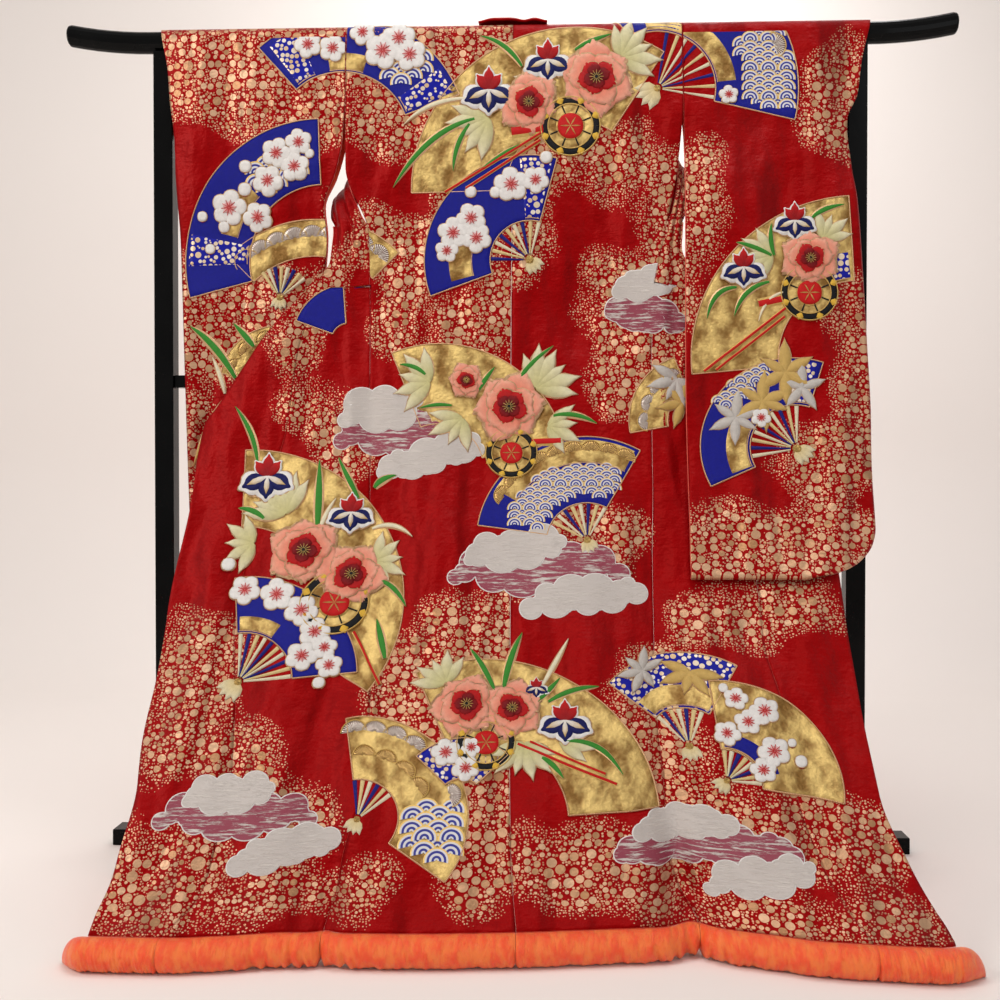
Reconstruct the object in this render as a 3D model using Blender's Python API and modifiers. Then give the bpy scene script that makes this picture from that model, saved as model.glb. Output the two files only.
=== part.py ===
"""Uchikake wedding kimono hung open, back outward, on its lacquered stand.

World frame, metres: origin on the floor under the middle of the stand, +X to the viewer's
right, -Y towards the viewer, +Z up. The long back and the two front flaps are one spread sheet.
A point on it is given by u, counted in seams from the left front edge (-3) through the centre
back (0) to the right front edge (3), and by b, the length of cloth down from the top bar.
"""
import math

import bpy
import numpy as np

# cloth
WALL = 0.0024
COLLAR_WALL = 0.004
COLLAR_WIDTH = 0.055
SEAM_INSET = 0.0009
END_GAP = 0.0004
NORMAL_STEP_U = 0.02
NORMAL_STEP_B = 0.004

# stand
BAR_RADIUS = 0.0205
BAR_Z = 1.5619
BAR_HALF = 0.848
BAR_LIFT = 0.0155
BAR_LIFT_RUN = 0.155
BAR_END_DOME = 0.006
POST_X = 0.665
POST_SIZE = 0.037
RAIL_Z = 0.903
RAIL_SIZE = 0.024
BASE_HALF = 0.767
BASE_HEIGHT = 0.031
BASE_DEPTH = 0.053
FOOT_REACH = 0.20
FOOT_WIDTH = 0.052
JOINT_GAP = 0.0003
EDGE_ROUND = 0.0018

# the cloth's path over the bar, then down the back to the hem
WRAP_R = BAR_RADIUS + 0.0008 + WALL / 2
WRAP_B = WRAP_R * math.pi / 2
DROP = [  # y, z below the bar
    (-0.026, 1.500), (-0.032, 1.400), (-0.038, 1.250), (-0.045, 1.100),
    (-0.058, 0.950), (-0.085, 0.800), (-0.130, 0.660), (-0.195, 0.520),
    (-0.275, 0.390), (-0.360, 0.275), (-0.440, 0.170), (-0.505, 0.092),
    (-0.5635, 0.0440),
]

# hem roll
ROLL_R = 0.0248
ROLL_SIDES = 12
ROLL_BEHIND = 0.0161
ROLL_TIP = 0.043
ROLL_SEAM_TURN = math.radians(138)
HEM_SETBACK = 0.021
HEM_LINE = [  # x, y where the roll meets the floor
    (-0.640, -0.590), (-0.590, -0.623), (-0.480, -0.625), (-0.390, -0.614),
    (-0.300, -0.597), (-0.160, -0.597), (0.030, -0.585), (0.130, -0.572),
    (0.250, -0.558), (0.310, -0.556), (0.400, -0.578), (0.470, -0.601),
    (0.550, -0.612), (0.640, -0.619), (0.700, -0.595),
]
HEM_SWING_B = 1.05
ROLL_CREASES = [  # u, depth, half width in u
    (-1.42, 0.12, 0.05), (-1.18, 0.16, 0.05), (-1.0, 0.20, 0.05), (-0.87, 0.16, 0.05),
    (-0.2, 0.05, 0.05), (0.93, 0.22, 0.05), (1.0, 0.28, 0.05), (1.12, 0.12, 0.05),
    (2.0, 0.06, 0.05), (-2.0, 0.08, 0.05),
]

# seams of the back
BACK_SEAMS = [  # b, left side, centre, right side
    (0.00, -0.306, 0.013, 0.333), (0.16, -0.308, 0.012, 0.335),
    (0.29, -0.307, 0.012, 0.325), (0.42, -0.262, 0.011, 0.300),
    (0.55, -0.259, 0.010, 0.276), (0.74, -0.257, 0.010, 0.272),
    (0.90, -0.250, 0.010, 0.271), (1.05, -0.241, 0.012, 0.266),
    (1.20, -0.230, 0.014, 0.263), (1.32, -0.219, 0.015, 0.262),
    (1.46, -0.216, 0.018, 0.267), (1.58, -0.238, 0.022, 0.270),
    (1.65, -0.244, 0.027, 0.284), (1.70, -0.252, 0.032, 0.305),
]
SIDE_SEAM_TOP = 0.40
SLIT_OPEN = 0.0045
SLIT_ASIDE = 0.001
SLIT_CLOSE = 0.02
OKUMI_TOP = 0.40

# each front: hangs behind the bar, turns out through the frame, spreads beside the back
FLAP = {
    -1: [  # b, turn in degrees, width of front, width of overlap panel
        (0.00, 0, 0.250, 0.000), (0.10, 0, 0.245, 0.000), (0.19, 4, 0.220, 0.000),
        (0.26, 40, 0.140, 0.002), (0.31, 100, 0.078, 0.004), (0.35, 145, 0.060, 0.006),
        (0.40, 168, 0.060, 0.009), (0.47, 178, 0.062, 0.014), (0.52, 180, 0.098, 0.021),
        (0.58, 180, 0.115, 0.060),
        (0.63, 180, 0.133, 0.080), (0.75, 180, 0.149, 0.139), (0.79, 180, 0.155, 0.158),
        (0.84, 180, 0.168, 0.154), (0.94, 180, 0.195, 0.137), (1.16, 180, 0.238, 0.122),
        (1.41, 180, 0.216, 0.153), (1.60, 180, 0.196, 0.146), (1.66, 180, 0.205, 0.139),
        (1.70, 180, 0.230, 0.110),
    ],
    1: [
        (0.00, 0, 0.250, 0.000), (0.10, 0, 0.240, 0.000), (0.16, 4, 0.215, 0.000),
        (0.22, 34, 0.165, 0.002), (0.26, 84, 0.088, 0.003), (0.30, 134, 0.038, 0.003),
        (0.36, 168, 0.024, 0.003), (0.42, 180, 0.028, 0.005), (0.45, 180, 0.032, 0.006),
        (0.51, 180, 0.072, 0.018), (0.57, 180, 0.105, 0.045), (0.63, 180, 0.125, 0.075),
        (0.75, 180, 0.138, 0.135), (0.84, 180, 0.150, 0.152),
        (0.94, 180, 0.162, 0.150), (1.09, 180, 0.183, 0.146), (1.22, 180, 0.189, 0.143),
        (1.32, 180, 0.206, 0.127), (1.47, 180, 0.205, 0.126), (1.60, 180, 0.228, 0.129),
        (1.66, 180, 0.236, 0.126), (1.70, 180, 0.241, 0.115),
    ],
}
GATHER_B = 0.38
GATHER_REACH = 0.14
GATHER_SHARE = 0.07
GATHER_WAVES = 2.5

# folds: a ridge (or, below zero, a trough) that runs down through three points
FOLDS = [  # b start, middle, end; x start, middle, end; height, left width, right width
    (0.40, 0.75, 1.06, 0.300, 0.290, 0.330, 0.012, 0.050, 0.014),
    (1.10, 1.30, 1.58, 0.338, 0.350, 0.352, 0.010, 0.035, 0.030),
    (1.15, 1.45, 1.80, 0.262, 0.268, 0.305, -0.020, 0.030, 0.030),
    (1.50, 1.62, 1.80, 0.275, 0.285, 0.307, -0.022, 0.026, 0.026),
    (0.42, 0.90, 1.55, -0.262, -0.250, -0.226, -0.007, 0.022, 0.022),
    (1.52, 1.60, 1.80, -0.240, -0.244, -0.252, -0.014, 0.016, 0.016),
    (1.46, 1.56, 1.68, -0.235, -0.190, -0.135, 0.014, 0.030, 0.030),
    (1.30, 1.52, 1.68, -0.330, -0.330, -0.300, 0.012, 0.040, 0.035),
    (0.80, 1.20, 1.60, -0.365, -0.370, -0.380, 0.010, 0.050, 0.050),
    (0.55, 1.00, 1.50, -0.120, -0.120, -0.110, 0.008, 0.060, 0.060),
    (0.60, 1.10, 1.60, 0.135, 0.140, 0.150, 0.009, 0.060, 0.060),
    (1.10, 1.40, 1.66, 0.480, 0.500, 0.540, -0.010, 0.035, 0.035),
    (1.15, 1.40, 1.64, 0.420, 0.415, 0.410, 0.010, 0.040, 0.040),
    (0.95, 1.30, 1.66, -0.520, -0.530, -0.540, 0.008, 0.040, 0.030),
]
FOLD_FADE = 0.16

# sleeves
CUFF_B = 0.24
ARM_GAP = 0.0004
ARM_SEAM_END = 0.17
SLEEVE_FOLD_OUT = 0.003
SLEEVE = {
    -1: [  # b, inner x, outer x, y of the near layer, depth at inner edge, middle, outer edge
        (0.000, -0.3066, -0.671, 0.0000, 0.000, 0.000, 0.000),
        (0.035, -0.3066, -0.664, -0.0225, 0.045, 0.045, 0.045),
        (0.100, -0.3072, -0.652, -0.0260, 0.0485, 0.0485, 0.0485),
        (0.160, -0.3090, -0.647, -0.0290, 0.050, 0.0515, 0.0515),
        (0.210, -0.3120, -0.640, -0.0310, 0.048, 0.052, 0.045),
        (0.240, -0.3140, -0.637, -0.0320, 0.044, 0.050, 0.030),
        (0.300, -0.3280, -0.634, -0.0300, 0.030, 0.042, 0.010),
        (0.360, -0.3500, -0.631, -0.0240, 0.018, 0.034, 0.008),
        (0.420, -0.3450, -0.628, -0.0180, 0.012, 0.026, 0.008),
        (0.500, -0.3500, -0.625, -0.0200, 0.010, 0.018, 0.008),
        (0.640, -0.3550, -0.618, -0.0310, 0.009, 0.010, 0.008),
        (0.800, -0.3580, -0.612, -0.0360, 0.009, 0.010, 0.008),
        (0.930, -0.3550, -0.606, -0.0420, 0.009, 0.010, 0.008),
        (1.000, -0.3520, -0.602, -0.0450, 0.009, 0.010, 0.008),
        (1.040, -0.3510, -0.588, -0.0470, 0.009, 0.010, 0.008),
        (1.070, -0.3500, -0.560, -0.0485, 0.009, 0.010, 0.008),
        (1.088, -0.3500, -0.505, -0.0495, 0.009, 0.010, 0.008),
    ],
    1: [  # the same, with the distance in front of the back's path in place of y
        (0.000, 0.3336, 0.692, 0.0000, 0.000, 0.000, 0.000),
        (0.035, 0.3336, 0.684, 0.0000, 0.045, 0.045, 0.045),
        (0.100, 0.3342, 0.669, 0.0000, 0.0485, 0.0485, 0.0485),
        (0.160, 0.3358, 0.661, 0.0000, 0.050, 0.0530, 0.0530),
        (0.210, 0.3362, 0.641, 0.0020, 0.030, 0.0550, 0.0550),
        (0.240, 0.3366, 0.640, 0.0050, 0.018, 0.046, 0.026),
        (0.300, 0.3370, 0.6435, 0.0120, 0.011, 0.034, 0.009),
        (0.360, 0.3370, 0.652, 0.0180, 0.011, 0.022, 0.009),
        (0.450, 0.3370, 0.658, 0.0200, 0.011, 0.014, 0.009),
        (0.610, 0.3360, 0.665, 0.0200, 0.011, 0.012, 0.009),
        (0.740, 0.3350, 0.668, 0.0200, 0.011, 0.012, 0.009),
        (0.890, 0.3345, 0.662, 0.0200, 0.010, 0.011, 0.009),
        (0.990, 0.3340, 0.659, 0.0200, 0.010, 0.011, 0.009),
        (1.022, 0.3330, 0.651, 0.0200, 0.009, 0.010, 0.009),
        (1.055, 0.3320, 0.626, 0.0200, 0.009, 0.010, 0.009),
        (1.078, 0.3320, 0.585, 0.0200, 0.009, 0.010, 0.009),
        (1.088, 0.3310, 0.530, 0.0200, 0.009, 0.010, 0.009),
    ],
}
SLEEVE_COLUMNS = [0.0, 0.10, 0.22, 0.36, 0.50, 0.64, 0.78, 0.90, 1.0]

# collar
COLLAR_START = 0.045
COLLAR_END = 0.80
COLLAR_TUCK = math.radians(176)
COLLAR_TUCK_FROM = math.radians(20)
COLLAR_TUCK_OVER = math.radians(150)
COLLAR_GAP = 0.0036
COLLAR_GAP_TURNING = 0.009
COLLAR_EDGE_GAP = 0.0022
NECK_X = (-0.054, 0.078)
NECK_RISE = 0.012

# number of strips across and rows down in each piece
BACK_COLUMNS = 7
FRONT_COLUMNS = 6
OKUMI_COLUMNS = 4
BODY_ROWS = [0.10, 0.17, 0.24, 0.30, 0.36, 0.38, 0.40, 0.42, 0.45, 0.49, 0.55, 0.63, 0.71, 0.79, 0.88, 0.97,
             1.06, 1.14, 1.22, 1.29, 1.36, 1.43, 1.49, 1.55, 1.605, 1.655]
FLAP_ROWS = [COLLAR_START, 0.09, 0.14, 0.18, 0.205, 0.23, 0.25, 0.27, 0.29, 0.31, 0.33, 0.345,
             0.36, 0.38, 0.40]
ROLL_STEPS = 8

RED = (0.38, 0.004, 0.008, 1.0)
ORANGE = (0.85, 0.09, 0.03, 1.0)
LACQUER = (0.012, 0.011, 0.012, 1.0)


def smooth(table, column, at):
    """Monotone cubic through one column of a table whose first column is the place."""
    rows = np.asarray(table, dtype=float)
    xs, ys = rows[:, 0], rows[:, column]
    step = np.diff(xs)
    slope = np.diff(ys) / step
    tangent = np.zeros_like(ys)
    same_way = slope[:-1] * slope[1:] > 0
    total = np.where(same_way, slope[:-1] + slope[1:], 1.0)
    tangent[1:-1] = np.where(same_way, 2 * slope[:-1] * slope[1:] / total, 0.0)
    tangent[0], tangent[-1] = slope[0], slope[-1]
    at = np.clip(at, xs[0], xs[-1])
    i = np.clip(np.searchsorted(xs, at, side="right") - 1, 0, len(xs) - 2)
    t = (at - xs[i]) / step[i]
    rise = ys[i + 1] - ys[i]
    a = tangent[i] * step[i]
    c = tangent[i + 1] * step[i]
    return ys[i] + t * (a + t * (3 * rise - 2 * a - c + t * (a + c - 2 * rise)))


def ease(t):
    """Smooth step from 0 to 1."""
    t = np.clip(t, 0.0, 1.0)
    return t * t * (3 - 2 * t)


def drop_path():
    """Rows of b, y, z down the back: a quarter turn round the bar, then the drop."""
    turn = np.linspace(0, math.pi / 2, 9)
    arc = [(-WRAP_R * math.sin(a), BAR_Z + WRAP_R * math.cos(a)) for a in turn]
    points = np.array(arc + DROP)
    lengths = np.linalg.norm(np.diff(points, axis=0), axis=1)
    along = np.concatenate([[0.0], np.cumsum(lengths)])
    return np.column_stack([along, points])


PATH = drop_path()
LENGTH = PATH[-1, 0]


def path_y(b):
    return smooth(PATH, 1, b)


def path_z(b):
    return smooth(PATH, 2, b)


def fold_height(x, b):
    """Sum of the folds at a place on the sheet, positive towards the viewer."""
    total = np.zeros(np.broadcast(x, b).shape)
    for b0, b1, b2, x0, x1, x2, height, left, right in FOLDS:
        line = smooth([(b0, x0), (b1, x1), (b2, x2)], 1, b)
        grow = ease((b - b0) / FOLD_FADE) * ease((b2 - b) / FOLD_FADE)
        width = np.where(x < line, left, right)
        total = total + height * grow * np.exp(-(((x - line) / width) ** 2))
    return total


def sheet_y(x, b):
    """Depth of the spread sheet: its path, swung to the hem's line, with its folds."""
    swing = ease((b - HEM_SWING_B) / (LENGTH - HEM_SWING_B))
    hem = smooth(HEM_LINE, 1, x) + HEM_SETBACK - PATH[-1, 1]
    return path_y(b) + swing * hem - fold_height(x, b)


def back_point(u, b):
    """A point on the back: x runs evenly between the side and centre seams."""
    left, centre, right = (smooth(BACK_SEAMS, k, b) for k in (1, 2, 3))
    x = np.where(u < 0, centre + u * (centre - left), centre + u * (right - centre))
    return np.stack([x, sheet_y(x, b), path_z(b) + 0 * x], axis=-1)


def gathering(b):
    """How far a front is bunched as it passes through the frame, 0 to 1."""
    return ease(1 - np.abs(b - GATHER_B) / GATHER_REACH)


def flap_frame(side, b):
    """Start, direction and turn of one front at b. Its strip turns about the side seam."""
    x = smooth(BACK_SEAMS, 2 + side, b)
    apart = 1 - ease((b - 0.15) / (SIDE_SEAM_TOP - 0.15))
    rear = WRAP_R * np.sin(np.clip(b / WRAP_R, 0, math.pi / 2))
    y = (1 - apart) * sheet_y(x, b) + apart * rear
    turn = np.radians(smooth(FLAP[side], 1, b))
    direction = np.stack([-side * np.cos(turn), np.sin(turn)], axis=-1)
    return x, y, direction, turn


def flap_point(side, u, b):
    """A point on a front or its overlap panel, |u| from 1 at the side seam to 3."""
    x, y, direction, turn = flap_frame(side, b)
    front, okumi = smooth(FLAP[side], 2, b), smooth(FLAP[side], 3, b)
    count = np.abs(u) - 1
    across = np.where(count <= 1, count * front, front + (count - 1) * okumi)
    slit = ease((SIDE_SEAM_TOP - b) / SLIT_CLOSE)
    across = across + SLIT_OPEN * slit
    x = x + side * SLIT_ASIDE * slit
    px = x + across * direction[..., 0]
    py = y + across * direction[..., 1]
    spread = ease((turn / math.pi - 0.5) * 2)
    py = py + spread * (sheet_y(px, b) - sheet_y(x, b))
    gathered = gathering(b)
    wave = np.sin(2 * math.pi * GATHER_WAVES * across / (front + okumi + 0.001))
    height = GATHER_SHARE * (front + okumi) * gathered
    px = px - side * height * wave * np.sin(turn)
    py = py + height * wave * np.abs(np.cos(turn)) * ease(count * 4)
    return np.stack([px, py, path_z(b) + 0 * px], axis=-1)


def sheet_point(u, b, own):
    """A point of the whole sheet; above the side seam's top each piece goes its own way."""
    side = -1 if own < 0 else 1
    back, flap = back_point(u, b), flap_point(side, u, b)
    joined = b >= SIDE_SEAM_TOP
    inside = np.abs(u) < 1
    use_back = np.where(joined, inside, abs(own) < 1)
    return np.where(use_back[..., None], back, flap)


def sheet_normal(u, b, own):
    """Outward unit normal, shared by the pieces on both sides of a seam."""
    du = sheet_point(u + NORMAL_STEP_U, b, own) - sheet_point(u - NORMAL_STEP_U, b, own)
    joined = b >= SIDE_SEAM_TOP
    low = np.maximum(b - NORMAL_STEP_B, np.where(joined, SIDE_SEAM_TOP, 0.0))
    high = np.minimum(b + NORMAL_STEP_B, LENGTH)
    db = sheet_point(u, high, own) - sheet_point(u, low, own)
    n = np.cross(db, du)
    return n / np.linalg.norm(n, axis=-1, keepdims=True)


def material(name, colour, roughness, metallic=0.0):
    mat = bpy.data.materials.new(name)
    mat.use_nodes = True
    shader = mat.node_tree.nodes["Principled BSDF"]
    shader.inputs["Base Color"].default_value = colour
    shader.inputs["Roughness"].default_value = roughness
    shader.inputs["Metallic"].default_value = metallic
    return mat


def add_object(name, verts, faces, colour, roughness):
    """An object in the kimono's collection, shaded smooth, with its own material."""
    mesh = bpy.data.meshes.new(name)
    mesh.from_pydata([tuple(map(float, v)) for v in verts], [], faces)
    mesh.validate()
    mesh.shade_smooth()
    mesh.materials.append(material(name, colour, roughness))
    obj = bpy.data.objects.new(name, mesh)
    collection.objects.link(obj)
    return obj


def grid_wall(name, middle, normal, thickness, colour=RED):
    """A closed wall: a grid of middle points moved both ways along its normals."""
    rows, columns = middle.shape[:2]
    outer = (middle + normal * thickness / 2).reshape(-1, 3)
    inner = (middle - normal * thickness / 2).reshape(-1, 3)
    count = rows * columns
    faces = []
    for r in range(rows - 1):
        for c in range(columns - 1):
            a, d = r * columns + c, (r + 1) * columns + c
            faces.append((a, d, d + 1, a + 1))
            faces.append((count + a, count + a + 1, count + d + 1, count + d))
    top = list(range(columns))
    bottom = [(rows - 1) * columns + c for c in range(columns)]
    first = [r * columns for r in range(rows)]
    last = [r * columns + columns - 1 for r in range(rows)]
    for line, flip in ((top, False), (last, False), (bottom, True), (first, True)):
        for a, d in zip(line, line[1:]):
            for face in ((a, d, count + d), (a, count + d, count + a)):
                faces.append(face[::-1] if flip else face)
    return add_object(name, np.vstack([outer, inner]), faces, colour, 0.45)


def sheet_piece(name, u_from, u_to, rows, columns):
    """One cut panel of the spread sheet, 0.3 mm short of its neighbours."""
    us = np.linspace(u_from + SEAM_INSET, u_to - SEAM_INSET, columns + 1)
    b, u = np.meshgrid(rows, us, indexing="ij")
    own = (u_from + u_to) / 2
    return grid_wall(name, sheet_point(u, b, own), sheet_normal(u, b, own), WALL)


def wrap_rows():
    """Rows round the quarter turn over the bar."""
    return [END_GAP] + [WRAP_B * k / 4 for k in (1, 2, 3, 4)]


def front_rows():
    """Rows down a front, closer together where it turns out through the frame."""
    lower = [b for b in BODY_ROWS if b > FLAP_ROWS[-1]]
    return np.array(wrap_rows() + FLAP_ROWS + lower + [LENGTH])


def make_body():
    """Backs, fronts and overlap panels."""
    back_rows = np.array(wrap_rows() + BODY_ROWS + [LENGTH])
    for side, word in ((-1, "left"), (1, "right")):
        spans = [sorted((side * a, side * (a + 1))) for a in (0, 1, 2)]
        sheet_piece("back_" + word, *spans[0], back_rows, BACK_COLUMNS)
        sheet_piece("front_" + word, *spans[1], front_rows(), FRONT_COLUMNS)
        okumi_rows = np.array([b for b in front_rows() if b >= OKUMI_TOP])
        sheet_piece("okumi_" + word, *spans[2], okumi_rows, OKUMI_COLUMNS)


def sleeve_layers(side, b, p):
    """Near and far layer of a sleeve at b down it and p across it."""
    inner, outer, place, at_inner, at_middle, at_outer = (
        smooth(SLEEVE[side], k, b) for k in range(1, 7))
    seam = smooth(BACK_SEAMS, 2 + side, b) + side * ARM_GAP
    inner = np.where(b < ARM_SEAM_END, seam, inner)
    x = inner + p * (outer - inner)
    middle = ease(p / 0.4)
    depth = at_inner + (at_middle - at_inner) * middle
    depth = depth + (at_outer - depth) * ease((p - 0.7) / 0.3)
    round_bar = b < WRAP_B
    angle = np.clip(b / WRAP_R, 0, math.pi / 2)
    if side < 0:
        near_y, near_z = place, BAR_Z - (b - WRAP_B)
        back_y, back_z = near_y + depth, near_z
    else:
        slope_y, slope_z = path_y(b + 0.01) - path_y(b - 0.01), path_z(b + 0.01) - path_z(b - 0.01)
        out_z = -slope_y / np.hypot(slope_y, slope_z) * ease((b - 0.12) / 0.2)
        out_y = -np.sqrt(1 - out_z ** 2)
        near_y, near_z = path_y(b) + place * out_y, path_z(b) + place * out_z
        back_y, back_z = near_y - depth * out_y, near_z - depth * out_z
    arc_y, arc_z = WRAP_R * np.sin(angle), BAR_Z + WRAP_R * np.cos(angle)
    near = np.stack(np.broadcast_arrays(
        x, np.where(round_bar, -arc_y, near_y), np.where(round_bar, arc_z, near_z)), axis=-1)
    far = np.stack(np.broadcast_arrays(
        x, np.where(round_bar, arc_y, back_y), np.where(round_bar, arc_z, back_z)), axis=-1)
    return near, far


def make_sleeve(side, word):
    """A flat bag over the bar: open at the armhole edge and cuff, closed below the cuff."""
    rows = [0.0] + [WRAP_B * k / 4 for k in (1, 2, 3, 4)]
    rows += [0.10, 0.16, 0.20, CUFF_B, 0.27, 0.30, 0.36, 0.43, 0.52, 0.64, 0.77, 0.89, 0.98]
    rows += [row[0] for row in SLEEVE[side] if row[0] > 0.995]
    b, p = np.meshgrid(np.array(rows), np.array(SLEEVE_COLUMNS), indexing="ij")
    near, far = sleeve_layers(side, b, p)
    count_r, count_c = b.shape
    verts = list(near.reshape(-1, 3)) + list(far[1:].reshape(-1, 3))
    near_id = np.arange(count_r * count_c).reshape(count_r, count_c)
    far_id = np.vstack([near_id[:1], near_id[1:] - count_c + count_r * count_c])
    cuff = rows.index(CUFF_B)
    rim = [(r, count_c - 1) for r in range(cuff, count_r)]
    rim += [(count_r - 1, c) for c in range(count_c - 2, -1, -1)]
    rim_id = []
    for r, c in rim:
        middle = (near[r, c] + far[r, c]) / 2
        out_x = side * SLEEVE_FOLD_OUT if c == count_c - 1 else 0.0
        down = SLEEVE_FOLD_OUT if r == count_r - 1 else 0.0
        rim_id.append(len(verts))
        verts.append(middle + np.array([out_x, 0.0, -down]))
    faces = []
    for grid, turned in ((near_id, side < 0), (far_id, side > 0)):
        for r in range(count_r - 1):
            for c in range(count_c - 1):
                face = (grid[r, c], grid[r + 1, c], grid[r + 1, c + 1], grid[r, c + 1])
                faces.append(tuple(int(i) for i in (face[::-1] if turned else face)))
    for k in range(len(rim) - 1):
        (r0, c0), (r1, c1) = rim[k], rim[k + 1]
        for grid, turned in ((near_id, side < 0), (far_id, side > 0)):
            face = (grid[r0, c0], grid[r1, c1], rim_id[k + 1], rim_id[k])
            faces.append(tuple(int(i) for i in (face[::-1] if turned else face)))
    obj = add_object("sleeve_" + word, verts, faces, RED, 0.45)
    wall = obj.modifiers.new("wall", "SOLIDIFY")
    wall.thickness = WALL
    wall.offset = 0.0


def collar_point(side, s, b):
    """A point on a hanging collar, s across it from the front's free edge."""
    _, _, d, turn = flap_frame(side, b)
    edge = flap_point(side, side * 3.0 + 0 * b, b)
    inward = np.stack([-side * d[..., 1], side * d[..., 0]], axis=-1)
    share = ease((turn - COLLAR_TUCK_FROM) / COLLAR_TUCK_OVER)
    tuck = COLLAR_TUCK * share
    away = ease(share * 2)
    bunched = COLLAR_GAP_TURNING * np.maximum(np.sin(turn), gathering(b))
    gap = (COLLAR_GAP + bunched) * away
    run = d * np.cos(tuck)[..., None] + inward * np.sin(tuck)[..., None]
    start = d * (COLLAR_EDGE_GAP * (1 - away))[..., None] + inward * gap[..., None]
    flat = start + run * s[..., None]
    return edge + np.concatenate([flat, np.zeros(flat.shape[:-1] + (1,))], axis=-1)


def make_collar():
    """Two hanging collar strips and the standing piece over the bar at the neck."""
    rows = [b for b in front_rows() if COLLAR_START <= b <= COLLAR_END]
    for side, word in ((-1, "left"), (1, "right")):
        b, s = np.meshgrid(np.array(rows), np.linspace(0, COLLAR_WIDTH, 3), indexing="ij")
        middle = collar_point(side, s, b)
        db = collar_point(side, s, b + 0.003) - collar_point(side, s, b - 0.003)
        ds = collar_point(side, s + 0.003, b) - collar_point(side, s - 0.003, b)
        n = np.cross(ds, db) * side
        n = n / np.linalg.norm(n, axis=-1, keepdims=True)
        if side < 0:
            middle, n = middle[:, ::-1], n[:, ::-1]
        grid_wall("collar_" + word, middle, -n, COLLAR_WALL)
    turn = np.radians(np.linspace(-20, 90, 9))
    x = np.linspace(NECK_X[0], NECK_X[1], 5)
    t, xx = np.meshgrid(turn, x, indexing="ij")
    radius = WRAP_R + WALL / 2 + COLLAR_WALL / 2 + 0.0006 + NECK_RISE * np.cos((t - 0.2) * 1.2) ** 2
    middle = np.stack([xx, radius * np.sin(t), BAR_Z + radius * np.cos(t)], axis=-1)
    normal = np.stack([0 * xx, np.sin(t), np.cos(t)], axis=-1)
    grid_wall("collar_neck", middle[:, ::-1], normal[:, ::-1], COLLAR_WALL)


def roll_ring(u):
    """One ring of the padded hem roll: a circle resting on the floor under the hem."""
    inside = min(max(u, -3.0), 3.0)
    own = inside if abs(inside) > 0.01 else 0.01
    end = sheet_point(np.array([inside]), np.array([LENGTH]), own)[0]
    beyond = (abs(u) - abs(inside)) / 0.35
    radius = ROLL_R * math.sqrt(max(1 - beyond ** 2, 0.0)) if beyond > 0 else ROLL_R
    radius = max(radius, 0.006)
    crease = 1.0
    for at, depth, width in ROLL_CREASES:
        crease *= 1 - depth * math.exp(-(((u - at) / width) ** 2))
    x = end[0] + math.copysign(ROLL_TIP * beyond, u)
    slip = smooth(HEM_LINE, 1, x) - smooth(HEM_LINE, 1, end[0])
    y = end[1] + slip - ROLL_BEHIND
    half = math.pi / ROLL_SIDES
    turn = half + 2 * half * np.arange(ROLL_SIDES)
    away = 0.5 - 0.5 * np.cos(turn - ROLL_SEAM_TURN)
    reach = radius * (1 - (1 - crease) * away)
    z = radius * math.cos(half) - reach * np.cos(turn)
    return np.stack([x + 0 * turn, y + reach * np.sin(turn), np.maximum(z, 0.0)], axis=-1)


def make_hem_roll():
    """Six padded lengths, each sewn along one panel's hem, closed at their seams."""
    names = ["okumi_left", "front_left", "back_left", "back_right", "front_right", "okumi_right"]
    for k, name in enumerate(names):
        first, last = k - 3.0, k - 2.0
        us = list(np.linspace(first + SEAM_INSET, last - SEAM_INSET, ROLL_STEPS + 1))
        if k == 0:
            us = [-3.34, -3.31, -3.22, -3.10] + us
        if k == 5:
            us = us + [3.10, 3.22, 3.31, 3.34]
        rings = [roll_ring(u) for u in us]
        verts = np.vstack(rings)
        faces = [tuple(range(ROLL_SIDES))[::-1]]
        for r in range(len(rings) - 1):
            for c in range(ROLL_SIDES):
                d = (c + 1) % ROLL_SIDES
                low, high = r * ROLL_SIDES, (r + 1) * ROLL_SIDES
                faces.append((low + c, low + d, high + d, high + c))
        end = (len(rings) - 1) * ROLL_SIDES
        faces.append(tuple(range(end, end + ROLL_SIDES)))
        add_object("hem_roll_" + name, verts, faces, ORANGE, 0.4)


def block(name, low, high):
    """A squared wooden piece between two corners, with lightly rounded edges."""
    centre = [(a + c) / 2 for a, c in zip(low, high)]
    bpy.ops.mesh.primitive_cube_add(size=1, location=centre)
    obj = bpy.context.object
    obj.name = name
    obj.data.name = name
    obj.scale = [c - a for a, c in zip(low, high)]
    bpy.ops.object.transform_apply(location=False, rotation=False, scale=True)
    rounding = obj.modifiers.new("edges", "BEVEL")
    rounding.width = EDGE_ROUND
    rounding.segments = 2
    obj.data.materials.append(material(name, LACQUER, 0.12))
    for other in list(obj.users_collection):
        other.objects.unlink(obj)
    collection.objects.link(obj)


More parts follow.
